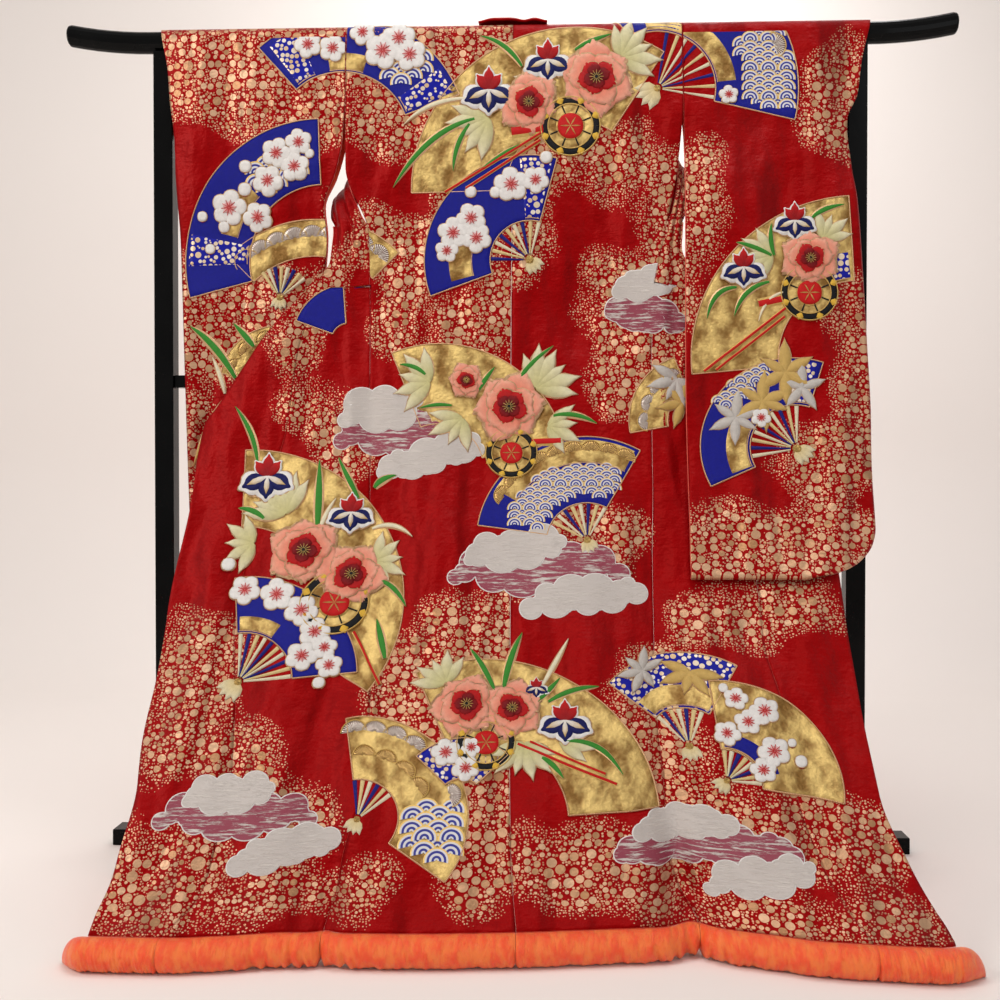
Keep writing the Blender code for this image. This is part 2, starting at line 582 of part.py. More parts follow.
def make_top_bar():
    """Round bar whose ends lift in a gentle arc and finish in a low dome."""
    straight = BAR_HALF - BAR_LIFT_RUN
    lift = np.linspace(0, 1, 7)[1:]
    half = [(straight + BAR_LIFT_RUN * t, BAR_LIFT * t ** 2, 1.0) for t in lift]
    last_x, last_z, _ = half[-1]
    half += [(last_x + BAR_END_DOME * math.sin(a), last_z, math.cos(a) * 0.25 + 0.75)
             for a in (0.6, 1.2)]
    right = [(straight, 0.0, 1.0)] + half
    points = [(-x, z, r) for x, z, r in reversed(right)] + [(0.0, 0.0, 1.0)] + right
    curve = bpy.data.curves.new("stand_top_bar", "CURVE")
    curve.dimensions = "3D"
    curve.bevel_depth = BAR_RADIUS
    curve.bevel_resolution = 6
    curve.use_fill_caps = True
    spline = curve.splines.new("POLY")
    spline.points.add(len(points) - 1)
    for point, (x, z, r) in zip(spline.points, points):
        point.co = (x, 0.0, BAR_Z + z, 1.0)
        point.radius = r
    curve.materials.append(material("stand_top_bar", LACQUER, 0.12))
    collection.objects.link(bpy.data.objects.new("stand_top_bar", curve))


def make_stand():
    """Two posts between the top bar and a low base, with a middle rail and four feet."""
    make_top_bar()
    half = POST_SIZE / 2
    post_top = BAR_Z - BAR_RADIUS - JOINT_GAP
    for side, word in ((-1, "left"), (1, "right")):
        x = side * POST_X
        block("stand_post_" + word, (x - half, -half, BASE_HEIGHT + JOINT_GAP),
              (x + half, half, post_top))
        for way, where in ((-1, "front"), (1, "rear")):
            near = way * (BASE_DEPTH / 2 + JOINT_GAP)
            ends = sorted((near, way * FOOT_REACH))
            block(f"stand_foot_{word}_{where}", (x - FOOT_WIDTH / 2, ends[0], 0.0),
                  (x + FOOT_WIDTH / 2, ends[1], BASE_HEIGHT))
    inner = POST_X - half - JOINT_GAP
    rail = RAIL_SIZE / 2
    block("stand_mid_rail", (-inner, -rail, RAIL_Z - rail), (inner, rail, RAIL_Z + rail))
    block("stand_base_rail", (-BASE_HALF, -BASE_DEPTH / 2, 0.0),
          (BASE_HALF, BASE_DEPTH / 2, BASE_HEIGHT))


for old in list(bpy.data.objects):
    bpy.data.objects.remove(old)
collection = bpy.data.collections.new("uchikake_on_stand")
bpy.context.scene.collection.children.link(collection)

make_stand()
make_body()
for sleeve_side, sleeve_word in ((-1, "left"), (1, "right")):
    make_sleeve(sleeve_side, sleeve_word)
make_collar()
make_hem_roll()
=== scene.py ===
"""Looks of an uchikake wedding kimono spread open on its lacquered stand.

The cloth is built again, finer, on the same formulas as its solids: u counts seams from the left
front edge (-3) through the centre back (0) to the right front edge (3), and b is the length of
cloth down from the top bar. The woven and embroidered pattern lies on the cloth in x across and
b down, in metres. All sizes are in metres.
"""
import math

import bpy
import numpy as np
from mathutils import Euler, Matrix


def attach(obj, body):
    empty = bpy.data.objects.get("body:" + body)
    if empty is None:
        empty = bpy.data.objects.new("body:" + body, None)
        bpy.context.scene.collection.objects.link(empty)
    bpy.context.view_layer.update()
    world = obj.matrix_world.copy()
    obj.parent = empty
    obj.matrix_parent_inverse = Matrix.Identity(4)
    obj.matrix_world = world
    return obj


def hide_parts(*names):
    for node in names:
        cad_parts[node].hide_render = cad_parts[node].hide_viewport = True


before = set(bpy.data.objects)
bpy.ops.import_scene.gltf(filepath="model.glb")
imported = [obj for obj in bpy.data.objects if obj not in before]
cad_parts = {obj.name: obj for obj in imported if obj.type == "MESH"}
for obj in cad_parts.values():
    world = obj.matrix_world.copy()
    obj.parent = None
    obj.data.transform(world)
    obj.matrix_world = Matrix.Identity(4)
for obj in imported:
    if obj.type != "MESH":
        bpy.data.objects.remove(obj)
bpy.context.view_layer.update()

# the cloth's construction, as in its solids
WALL = 0.0024
COLLAR_WALL = 0.004
COLLAR_WIDTH = 0.055
SEAM_INSET = 0.0009
END_GAP = 0.0004
NORMAL_STEP_U = 0.01
NORMAL_STEP_B = 0.003
BAR_RADIUS = 0.0205
BAR_Z = 1.5619
WRAP_R = BAR_RADIUS + 0.0008 + WALL / 2
WRAP_B = WRAP_R * math.pi / 2
DROP = [  # y, z below the bar
    (-0.026, 1.500), (-0.032, 1.400), (-0.038, 1.250), (-0.045, 1.100),
    (-0.058, 0.950), (-0.085, 0.800), (-0.130, 0.660), (-0.195, 0.520),
    (-0.275, 0.390), (-0.360, 0.275), (-0.440, 0.170), (-0.505, 0.092),
    (-0.5635, 0.0440),
]
ROLL_R = 0.0248
ROLL_FLAT = math.cos(math.pi / 12)
ROLL_BEHIND = 0.0161
ROLL_TIP = 0.043
ROLL_SEAM_TURN = math.radians(138)
HEM_SETBACK = 0.021
HEM_LINE = [  # x, y where the roll meets the floor
    (-0.640, -0.590), (-0.590, -0.623), (-0.480, -0.625), (-0.390, -0.614),
    (-0.300, -0.597), (-0.160, -0.597), (0.030, -0.585), (0.130, -0.572),
    (0.250, -0.558), (0.310, -0.556), (0.400, -0.578), (0.470, -0.601),
    (0.550, -0.612), (0.640, -0.619), (0.700, -0.595),
]
HEM_SWING_B = 1.05
BACK_SEAMS = [  # b, left side, centre, right side
    (0.00, -0.306, 0.013, 0.333), (0.16, -0.308, 0.012, 0.335),
    (0.29, -0.307, 0.012, 0.325), (0.42, -0.262, 0.011, 0.300),
    (0.55, -0.259, 0.010, 0.276), (0.74, -0.257, 0.010, 0.272),
    (0.90, -0.250, 0.010, 0.271), (1.05, -0.241, 0.012, 0.266),
    (1.20, -0.230, 0.014, 0.263), (1.32, -0.219, 0.015, 0.262),
    (1.46, -0.216, 0.018, 0.267), (1.58, -0.238, 0.022, 0.270),
    (1.65, -0.244, 0.027, 0.284), (1.70, -0.252, 0.032, 0.305),
]
SIDE_SEAM_TOP = 0.40
SLIT_OPEN = 0.0045
SLIT_ASIDE = 0.001
SLIT_CLOSE = 0.02
OKUMI_TOP = 0.40
FLAP = {
    -1: [  # b, turn in degrees, width of front, width of overlap panel
        (0.00, 0, 0.250, 0.000), (0.10, 0, 0.245, 0.000), (0.19, 4, 0.220, 0.000),
        (0.26, 40, 0.140, 0.002), (0.31, 100, 0.078, 0.004), (0.35, 145, 0.060, 0.006),
        (0.40, 168, 0.060, 0.009), (0.47, 178, 0.062, 0.014), (0.52, 180, 0.098, 0.021),
        (0.58, 180, 0.115, 0.060),
        (0.63, 180, 0.133, 0.080), (0.75, 180, 0.149, 0.139), (0.79, 180, 0.155, 0.158),
        (0.84, 180, 0.168, 0.154), (0.94, 180, 0.195, 0.137), (1.16, 180, 0.238, 0.122),
        (1.41, 180, 0.216, 0.153), (1.60, 180, 0.196, 0.146), (1.66, 180, 0.205, 0.139),
        (1.70, 180, 0.230, 0.110),
    ],
    1: [
        (0.00, 0, 0.250, 0.000), (0.10, 0, 0.240, 0.000), (0.16, 4, 0.215, 0.000),
        (0.22, 34, 0.165, 0.002), (0.26, 84, 0.088, 0.003), (0.30, 134, 0.038, 0.003),
        (0.36, 168, 0.024, 0.003), (0.42, 180, 0.028, 0.005), (0.45, 180, 0.032, 0.006),
        (0.51, 180, 0.072, 0.018), (0.57, 180, 0.105, 0.045), (0.63, 180, 0.125, 0.075),
        (0.75, 180, 0.138, 0.135), (0.84, 180, 0.150, 0.152),
        (0.94, 180, 0.162, 0.150), (1.09, 180, 0.183, 0.146), (1.22, 180, 0.189, 0.143),
        (1.32, 180, 0.206, 0.127), (1.47, 180, 0.205, 0.126), (1.60, 180, 0.228, 0.129),
        (1.66, 180, 0.236, 0.126), (1.70, 180, 0.241, 0.115),
    ],
}
GATHER_B = 0.38
GATHER_REACH = 0.14
GATHER_SHARE = 0.07
GATHER_WAVES = 2.5
FOLDS = [  # b start, middle, end; x start, middle, end; height, left width, right width
    (0.40, 0.75, 1.06, 0.300, 0.290, 0.330, 0.012, 0.050, 0.014),
    (1.10, 1.30, 1.58, 0.338, 0.350, 0.352, 0.010, 0.035, 0.030),
    (1.15, 1.45, 1.80, 0.262, 0.268, 0.305, -0.020, 0.030, 0.030),
    (1.50, 1.62, 1.80, 0.275, 0.285, 0.307, -0.022, 0.026, 0.026),
    (0.42, 0.90, 1.55, -0.262, -0.250, -0.226, -0.007, 0.022, 0.022),
    (1.52, 1.60, 1.80, -0.240, -0.244, -0.252, -0.014, 0.016, 0.016),
    (1.46, 1.56, 1.68, -0.235, -0.190, -0.135, 0.014, 0.030, 0.030),
    (1.30, 1.52, 1.68, -0.330, -0.330, -0.300, 0.012, 0.040, 0.035),
    (0.80, 1.20, 1.60, -0.365, -0.370, -0.380, 0.010, 0.050, 0.050),
    (0.55, 1.00, 1.50, -0.120, -0.120, -0.110, 0.008, 0.060, 0.060),
    (0.60, 1.10, 1.60, 0.135, 0.140, 0.150, 0.009, 0.060, 0.060),
    (1.10, 1.40, 1.66, 0.480, 0.500, 0.540, -0.010, 0.035, 0.035),
    (1.15, 1.40, 1.64, 0.420, 0.415, 0.410, 0.010, 0.040, 0.040),
    (0.95, 1.30, 1.66, -0.520, -0.530, -0.540, 0.008, 0.040, 0.030),
]
FOLD_FADE = 0.16
CREASES = [  # fine creases too small for the solids, in the same columns
    (0.10, 0.20, 0.36, -0.290, -0.240, -0.205, 0.0030, 0.016, 0.009),
    (0.14, 0.24, 0.40, -0.298, -0.268, -0.235, -0.0030, 0.010, 0.010),
    (0.16, 0.27, 0.46, 0.322, 0.290, 0.245, 0.0028, 0.009, 0.016),
    (0.45, 0.62, 0.95, -0.300, -0.295, -0.285, 0.0030, 0.010, 0.010),
    (0.50, 0.66, 0.88, -0.215, -0.205, -0.212, 0.0016, 0.012, 0.012),
    (0.60, 0.86, 1.20, 0.060, 0.075, 0.085, 0.0018, 0.020, 0.020),
    (0.78, 1.02, 1.30, -0.060, -0.070, -0.065, 0.0018, 0.020, 0.016),
    (1.18, 1.36, 1.60, -0.150, -0.135, -0.160, 0.0030, 0.018, 0.018),
    (1.30, 1.46, 1.68, -0.450, -0.462, -0.480, 0.0035, 0.018, 0.022),
    (1.25, 1.42, 1.66, 0.215, 0.200, 0.222, 0.0040, 0.018, 0.015),
    (1.34, 1.52, 1.68, 0.120, 0.100, 0.080, 0.0035, 0.022, 0.020),
    (1.36, 1.55, 1.70, -0.080, -0.060, -0.070, 0.0030, 0.020, 0.022),
    (1.05, 1.28, 1.52, 0.385, 0.392, 0.388, 0.0030, 0.014, 0.020),
    (1.30, 1.48, 1.68, 0.545, 0.562, 0.600, 0.0035, 0.020, 0.020),
    (0.70, 0.92, 1.25, 0.405, 0.425, 0.450, -0.0030, 0.022, 0.018),
    (0.66, 0.84, 1.10, -0.430, -0.450, -0.462, 0.0030, 0.018, 0.018),
]
CUFF_B = 0.24
ARM_GAP = 0.0004
ARM_SEAM_END = 0.17
SLEEVE_FOLD_OUT = 0.003
SLEEVE = {
    -1: [  # b, inner x, outer x, y of the near layer, depth at inner edge, middle, outer edge
        (0.000, -0.3066, -0.671, 0.0000, 0.000, 0.000, 0.000),
        (0.035, -0.3066, -0.664, -0.0225, 0.045, 0.045, 0.045),
        (0.100, -0.3072, -0.652, -0.0260, 0.0485, 0.0485, 0.0485),
        (0.160, -0.3090, -0.647, -0.0290, 0.050, 0.0515, 0.0515),
        (0.210, -0.3120, -0.640, -0.0310, 0.048, 0.052, 0.045),
        (0.240, -0.3140, -0.637, -0.0320, 0.044, 0.050, 0.030),
        (0.300, -0.3280, -0.634, -0.0300, 0.030, 0.042, 0.010),
        (0.360, -0.3500, -0.631, -0.0240, 0.018, 0.034, 0.008),
        (0.420, -0.3450, -0.628, -0.0180, 0.012, 0.026, 0.008),
        (0.500, -0.3500, -0.625, -0.0200, 0.010, 0.018, 0.008),
        (0.640, -0.3550, -0.618, -0.0310, 0.009, 0.010, 0.008),
        (0.800, -0.3580, -0.612, -0.0360, 0.009, 0.010, 0.008),
        (0.930, -0.3550, -0.606, -0.0420, 0.009, 0.010, 0.008),
        (1.000, -0.3520, -0.602, -0.0450, 0.009, 0.010, 0.008),
        (1.040, -0.3510, -0.588, -0.0470, 0.009, 0.010, 0.008),
        (1.070, -0.3500, -0.560, -0.0485, 0.009, 0.010, 0.008),
        (1.088, -0.3500, -0.505, -0.0495, 0.009, 0.010, 0.008),
    ],
    1: [  # the same, with the distance in front of the back's path in place of y
        (0.000, 0.3336, 0.692, 0.0000, 0.000, 0.000, 0.000),
        (0.035, 0.3336, 0.684, 0.0000, 0.045, 0.045, 0.045),
        (0.100, 0.3342, 0.669, 0.0000, 0.0485, 0.0485, 0.0485),
        (0.160, 0.3358, 0.661, 0.0000, 0.050, 0.0530, 0.0530),
        (0.210, 0.3362, 0.641, 0.0020, 0.030, 0.0550, 0.0550),
        (0.240, 0.3366, 0.640, 0.0050, 0.018, 0.046, 0.026),
        (0.300, 0.3370, 0.6435, 0.0120, 0.011, 0.034, 0.009),
        (0.360, 0.3370, 0.652, 0.0180, 0.011, 0.022, 0.009),
        (0.450, 0.3370, 0.658, 0.0200, 0.011, 0.014, 0.009),
        (0.610, 0.3360, 0.665, 0.0200, 0.011, 0.012, 0.009),
        (0.740, 0.3350, 0.668, 0.0200, 0.011, 0.012, 0.009),
        (0.890, 0.3345, 0.662, 0.0200, 0.010, 0.011, 0.009),
        (0.990, 0.3340, 0.659, 0.0200, 0.010, 0.011, 0.009),
        (1.022, 0.3330, 0.651, 0.0200, 0.009, 0.010, 0.009),
        (1.055, 0.3320, 0.626, 0.0200, 0.009, 0.010, 0.009),
        (1.078, 0.3320, 0.585, 0.0200, 0.009, 0.010, 0.009),
        (1.088, 0.3310, 0.530, 0.0200, 0.009, 0.010, 0.009),
    ],
}
SLEEVE_CREASES = {  # b, x of a crease's middle; half length, half width, slope, height
    -1: [
        (0.10, -0.46, 0.16, 0.012, 0.25, 0.0022), (0.20, -0.42, 0.14, 0.014, -0.35, 0.0024),
        (0.30, -0.40, 0.10, 0.010, -0.5, 0.0030), (0.37, -0.45, 0.13, 0.013, -0.25, 0.0026),
        (0.45, -0.42, 0.10, 0.012, -0.4, 0.0022), (0.55, -0.50, 0.10, 0.016, 0.3, 0.0018),
    ],
    1: [
        (0.075, 0.60, 0.10, 0.010, 0.5, 0.0024), (0.19, 0.50, 0.15, 0.014, 0.12, 0.0024),
        (0.30, 0.47, 0.12, 0.016, -0.2, 0.0016), (0.45, 0.56, 0.10, 0.014, 0.2, 0.0014),
        (0.68, 0.45, 0.12, 0.018, 0.1, 0.0016), (0.90, 0.52, 0.14, 0.018, -0.1, 0.0016),
    ],
}
COLLAR_START = 0.045
COLLAR_END = 0.80
COLLAR_TUCK = math.radians(176)
COLLAR_TUCK_FROM = math.radians(20)
COLLAR_TUCK_OVER = math.radians(150)
COLLAR_GAP = 0.0036
COLLAR_GAP_TURNING = 0.009
COLLAR_EDGE_GAP = 0.0022
NECK_X = (-0.054, 0.078)
NECK_RISE = 0.012

# fineness of the visible cloth
PANEL_CELL = 0.0065
ROLL_ROUND = 28


def smooth(table, column, at):
    """Monotone cubic through one column of a table whose first column is the place."""
    rows = np.asarray(table, dtype=float)
    xs, ys = rows[:, 0], rows[:, column]
    step = np.diff(xs)
    slope = np.diff(ys) / step
    tangent = np.zeros_like(ys)
    same_way = slope[:-1] * slope[1:] > 0
    total = np.where(same_way, slope[:-1] + slope[1:], 1.0)
    tangent[1:-1] = np.where(same_way, 2 * slope[:-1] * slope[1:] / total, 0.0)
    tangent[0], tangent[-1] = slope[0], slope[-1]
    at = np.clip(at, xs[0], xs[-1])
    i = np.clip(np.searchsorted(xs, at, side="right") - 1, 0, len(xs) - 2)
    t = (at - xs[i]) / step[i]
    rise = ys[i + 1] - ys[i]
    a = tangent[i] * step[i]
    c = tangent[i + 1] * step[i]
    return ys[i] + t * (a + t * (3 * rise - 2 * a - c + t * (a + c - 2 * rise)))


def ease(t):
    """Smooth step from 0 to 1."""
    t = np.clip(t, 0.0, 1.0)
    return t * t * (3 - 2 * t)


def drop_path():
    """Rows of b, y, z down the back: a quarter turn round the bar, then the drop."""
    turn = np.linspace(0, math.pi / 2, 9)
    arc = [(-WRAP_R * math.sin(a), BAR_Z + WRAP_R * math.cos(a)) for a in turn]
    points = np.array(arc + DROP)
    lengths = np.linalg.norm(np.diff(points, axis=0), axis=1)
    along = np.concatenate([[0.0], np.cumsum(lengths)])
    return np.column_stack([along, points])


PATH = drop_path()
LENGTH = PATH[-1, 0]


def path_y(b):
    """Depth of the back's path."""
    return smooth(PATH, 1, b)


def path_z(b):
    """Height of the back's path."""
    return smooth(PATH, 2, b)


def ridges(table, x, b):
    """Sum of bell-shaped ridges that each run down through three points."""
    total = np.zeros(np.broadcast(x, b).shape)
    for b0, b1, b2, x0, x1, x2, height, left, right in table:
        line = smooth([(b0, x0), (b1, x1), (b2, x2)], 1, b)
        grow = ease((b - b0) / FOLD_FADE) * ease((b2 - b) / FOLD_FADE)
        width = np.where(x < line, left, right)
        total = total + height * grow * np.exp(-(((x - line) / width) ** 2))
    return total


def sheet_y(x, b):
    """Depth of the spread sheet: its path, swung to the hem's line, with its folds."""
    swing = ease((b - HEM_SWING_B) / (LENGTH - HEM_SWING_B))
    hem = smooth(HEM_LINE, 1, x) + HEM_SETBACK - PATH[-1, 1]
    quiet = ease((LENGTH - b) / 0.06) * ease((b - WRAP_B) / 0.05)
    creases = ridges(CREASES, x, b) * quiet
    return path_y(b) + swing * hem - ridges(FOLDS, x, b) - creases


def back_point(u, b):
    """A point on the back: x runs evenly between the side and centre seams."""
    left, centre, right = (smooth(BACK_SEAMS, k, b) for k in (1, 2, 3))
    x = np.where(u < 0, centre + u * (centre - left), centre + u * (right - centre))
    return np.stack([x, sheet_y(x, b), path_z(b) + 0 * x], axis=-1)


def gathering(b):
    """How far a front is bunched as it passes through the frame, 0 to 1."""
    return ease(1 - np.abs(b - GATHER_B) / GATHER_REACH)


def flap_frame(side, b):
    """Start, direction and turn of one front at b. Its strip turns about the side seam."""
    x = smooth(BACK_SEAMS, 2 + side, b)
    apart = 1 - ease((b - 0.15) / (SIDE_SEAM_TOP - 0.15))
    rear = WRAP_R * np.sin(np.clip(b / WRAP_R, 0, math.pi / 2))
    y = (1 - apart) * sheet_y(x, b) + apart * rear
    turn = np.radians(smooth(FLAP[side], 1, b))
    direction = np.stack([-side * np.cos(turn), np.sin(turn)], axis=-1)
    return x, y, direction, turn


def flap_across(side, u, b):
    """Length of cloth across a front from its side seam to u."""
    front, okumi = smooth(FLAP[side], 2, b), smooth(FLAP[side], 3, b)
    count = np.abs(u) - 1
    return np.where(count <= 1, count * front, front + (count - 1) * okumi), front + okumi


def flap_point(side, u, b):
    """A point on a front or its overlap panel, |u| from 1 at the side seam to 3."""
    x, y, direction, turn = flap_frame(side, b)
    across, width = flap_across(side, u, b)
    count = np.abs(u) - 1
    slit = ease((SIDE_SEAM_TOP - b) / SLIT_CLOSE)
    across = across + SLIT_OPEN * slit
    x = x + side * SLIT_ASIDE * slit
    px = x + across * direction[..., 0]
    py = y + across * direction[..., 1]
    spread = ease((turn / math.pi - 0.5) * 2)
    py = py + spread * (sheet_y(px, b) - sheet_y(x, b))
    wave = np.sin(2 * math.pi * GATHER_WAVES * across / (width + 0.001))
    height = GATHER_SHARE * width * gathering(b)
    px = px - side * height * wave * np.sin(turn)
    py = py + height * wave * np.abs(np.cos(turn)) * ease(count * 4)
    return np.stack([px, py, path_z(b) + 0 * px], axis=-1)


def sheet_point(u, b, own):
    """A point of the whole sheet; above the side seam's top each piece goes its own way."""
    side = -1 if own < 0 else 1
    back, flap = back_point(u, b), flap_point(side, u, b)
    use_back = np.where(b >= SIDE_SEAM_TOP, np.abs(u) < 1, abs(own) < 1)
    return np.where(use_back[..., None], back, flap)


def sheet_normal(u, b, own):
    """Outward unit normal, shared by the pieces on both sides of a seam."""
    du = sheet_point(u + NORMAL_STEP_U, b, own) - sheet_point(u - NORMAL_STEP_U, b, own)
    low = np.maximum(b - NORMAL_STEP_B, np.where(b >= SIDE_SEAM_TOP, SIDE_SEAM_TOP, 0.0))
    high = np.minimum(b + NORMAL_STEP_B, LENGTH)
    db = sheet_point(u, high, own) - sheet_point(u, low, own)
    n = np.cross(db, du)
    return n / np.linalg.norm(n, axis=-1, keepdims=True)


def sleeve_crease(side, x, b):
    """Soft slanting creases of a sleeve, each a bell across and along its line."""
    total = np.zeros(np.broadcast(x, b).shape)
    for at_b, at_x, half_length, half_width, slope, height in SLEEVE_CREASES[side]:
        across = (b - at_b - slope * (x - at_x)) / half_width
        along = (x - at_x) / half_length
        total = total + height * np.exp(-across ** 2 - along ** 2)
    return total * ease((b - WRAP_B) / 0.04)


def sleeve_near(side, x, b):
    """Depth and height of a sleeve's near layer."""
    place = smooth(SLEEVE[side], 3, b)
    crease = sleeve_crease(side, x, b)
    if side < 0:
        return place - crease, BAR_Z - (b - WRAP_B) + 0 * x
    slope_y, slope_z = path_y(b + 0.01) - path_y(b - 0.01), path_z(b + 0.01) - path_z(b - 0.01)
    out_z = -slope_y / np.hypot(slope_y, slope_z) * ease((b - 0.12) / 0.2)
    out_y = -np.sqrt(1 - out_z ** 2)
    away = place + crease
    return path_y(b) + away * out_y, path_z(b) + away * out_z


def sleeve_side(side, b):
    """Inner and outer x of a sleeve at b."""
    seam = smooth(BACK_SEAMS, 2 + side, b) + side * ARM_GAP
    inner = np.where(b < ARM_SEAM_END, seam, smooth(SLEEVE[side], 1, b))
    return inner, smooth(SLEEVE[side], 2, b)


def sleeve_layers(side, b, p):
    """Near and far layer of a sleeve at b down it and p across it."""
    inner, outer = sleeve_side(side, b)
    x = inner + p * (outer - inner)
    at_inner, at_middle, at_outer = (smooth(SLEEVE[side], k, b) for k in (4, 5, 6))
    depth = at_inner + (at_middle - at_inner) * ease(p / 0.4)
    depth = depth + (at_outer - depth) * ease((p - 0.7) / 0.3)
    near_y, near_z = sleeve_near(side, x, b)
    if side < 0:
        back_y, back_z = near_y + depth, near_z
    else:
        slope_y, slope_z = path_y(b + 0.01) - path_y(b - 0.01), path_z(b + 0.01) - path_z(b - 0.01)
        out_z = -slope_y / np.hypot(slope_y, slope_z) * ease((b - 0.12) / 0.2)
        back_y, back_z = near_y + depth * np.sqrt(1 - out_z ** 2), near_z - depth * out_z
    round_bar = b < WRAP_B
    angle = np.clip(b / WRAP_R, 0, math.pi / 2)
    arc_y, arc_z = WRAP_R * np.sin(angle), BAR_Z + WRAP_R * np.cos(angle)
    near = np.stack(np.broadcast_arrays(
        x, np.where(round_bar, -arc_y, near_y), np.where(round_bar, arc_z, near_z)), axis=-1)
    far = np.stack(np.broadcast_arrays(
        x, np.where(round_bar, arc_y, back_y), np.where(round_bar, arc_z, back_z)), axis=-1)
    return near, far


# the dotted areas: rounded bands laid over the cloth, cut off at the centre seam
SPRAY_EDGE = 0.030
SPRAY_BODY = {  # first x and b, last x and b, half width of the band
    -1: [
        (-0.27, 0.06, -0.04, 0.06, 0.085), (-0.24, 0.19, -0.03, 0.20, 0.070),
        (-0.05, 0.22, -0.09, 0.45, 0.065), (-0.24, 0.43, -0.15, 0.44, 0.050),
        (-0.20, 0.50, -0.21, 0.60, 0.045), (-0.08, 0.60, 0.00, 0.58, 0.075),
        (-0.35, 0.51, -0.41, 0.64, 0.045), (-0.36, 0.76, -0.29, 0.85, 0.055),
        (-0.05, 1.20, 0.01, 1.20, 0.090), (-0.15, 1.27, -0.12, 1.34, 0.080),
        (-0.04, 1.48, -0.02, 1.60, 0.070), (-0.52, 1.23, -0.52, 1.38, 0.075),
        (-0.45, 1.41, -0.31, 1.54, 0.060), (-0.58, 1.62, -0.48, 1.62, 0.080),
        (-0.42, 1.65, -0.20, 1.63, 0.035),
    ],
    1: [
        (0.04, 0.24, 0.22, 0.28, 0.065), (0.04, 0.30, 0.03, 0.46, 0.055),
        (0.30, 0.30, 0.31, 0.46, 0.055), (0.23, 0.52, 0.23, 0.70, 0.075),
        (0.31, 0.48, 0.31, 0.62, 0.050), (0.03, 0.92, 0.20, 1.00, 0.050),
        (0.02, 1.03, 0.15, 1.05, 0.070), (0.06, 1.60, 0.24, 1.62, 0.065),
        (0.26, 1.29, 0.26, 1.44, 0.075), (0.32, 1.54, 0.56, 1.54, 0.070),
        (0.34, 1.17, 0.54, 1.13, 0.050), (0.33, 1.69, 0.62, 1.67, 0.035),
    ],
}
SPRAY_SLEEVE = {
    -1: [
        (-0.60, 0.06, -0.34, 0.12, 0.130), (-0.31, 0.38, -0.31, 0.44, 0.050),
        (-0.62, 0.52, -0.36, 0.53, 0.060), (-0.60, 0.62, -0.45, 0.60, 0.070),
        (-0.63, 0.75, -0.62, 0.88, 0.055),
    ],
    1: [
        (0.64, 0.14, 0.64, 0.22, 0.075), (0.35, 0.31, 0.36, 0.42, 0.055),
        (0.34, 0.50, 0.33, 0.58, 0.035), (0.65, 0.55, 0.64, 0.80, 0.040),
        (0.36, 1.04, 0.60, 1.03, 0.085), (0.58, 0.87, 0.64, 0.85, 0.080),
    ],
}
DOT_LAYERS = [  # cells a metre, gap, field where it starts, field it grows over, colour
    (52.0, 0.0007, 0.05, 0.60, (0.38, 0.21, 0.10, 1.0)),
    (108.0, 0.0005, -0.40, 0.75, (0.42, 0.22, 0.11, 1.0)),
    (210.0, 0.0004, -1.00, 0.80, (0.46, 0.18, 0.10, 1.0)),
]
DOT_PALE = (0.62, 0.40, 0.25, 1.0)
DOT_SOFT = 0.0003
DOT_LEAST = 0.0007
DOT_METAL = 0.40
DOT_SCATTER = 0.78

# colours, linear
RED_DEEP = (0.200, 0.0003, 0.0012, 1.0)
RED_BRIGHT = (0.290, 0.0005, 0.0020, 1.0)
LINING_DEEP = (0.70, 0.045, 0.012, 1.0)
LINING_BRIGHT = (0.82, 0.075, 0.020, 1.0)
PIPING_DEEP = (0.60, 0.060, 0.045, 1.0)
PIPING_BRIGHT = (0.78, 0.150, 0.110, 1.0)
ROLL_DEEP = (0.97, 0.080, 0.010, 1.0)
ROLL_BRIGHT = (1.00, 0.200, 0.030, 1.0)
LACQUER_DEEP = (0.001, 0.001, 0.001, 1.0)
LACQUER_WORN = (0.004, 0.004, 0.004, 1.0)
BACKDROP = (0.84, 0.78, 0.74, 1.0)

# the raised pattern: heights above the face of the silk
LIFT = 0.0005
LEVEL = 0.0010
LAYER = 0.0003
TUCK = -0.0008
PATTERN_CELL = 0.008
PATTERN_EDGE = 0.0012
LEAST_AREA = 1e-9
PATTERN_B = {"body": (0.004, 1.700), "left": (0.038, 1.080), "right": (0.038, 1.080)}
FRONTS_FLAT_B = 0.52
CLOTH_SIDE = {"left": -1, "right": 1}
FINISHES = ["foil", "cloud", "satin", "dotted", "pine", "wave", "cord"]
PATCHES = {"body": [], "left": [], "right": []}
PATTERN_PIECES = [  # cloth, piece, and the b between which its motifs lie
    ("body", "pattern_body_upper", 0.0, 0.8), ("body", "pattern_body_lower", 0.8, 2.0),
    ("left", "pattern_sleeve_left", 0.0, 2.0), ("right", "pattern_sleeve_right", 0.0, 2.0),
]

# thread and leaf colours, linear
GOLD = (0.72, 0.47, 0.14)
SILVER = (0.66, 0.60, 0.52)
COUCHED = (0.78, 0.47, 0.25)
WHITE = (0.90, 0.86, 0.82)
PINK = (0.80, 0.16, 0.16)
CORAL = (0.86, 0.13, 0.065)
PALE_PEACH = (0.94, 0.46, 0.32)
YOUNG_LEAF = (0.64, 0.58, 0.26)
CRIMSON = (0.30, 0.003, 0.006)
HEART = (0.09, 0.001, 0.003)
SCARLET = (0.62, 0.008, 0.008)
NAVY = (0.006, 0.009, 0.10)
BLUE = (0.004, 0.006, 0.26, 1.0)
PALE_BLUE = (0.34, 0.38, 0.55)
PURPLE = (0.28, 0.030, 0.060)
CLOUD_SILVER = (0.56, 0.50, 0.46)
BLACK = (0.006, 0.006, 0.008)
YELLOW = (0.83, 0.50, 0.06)
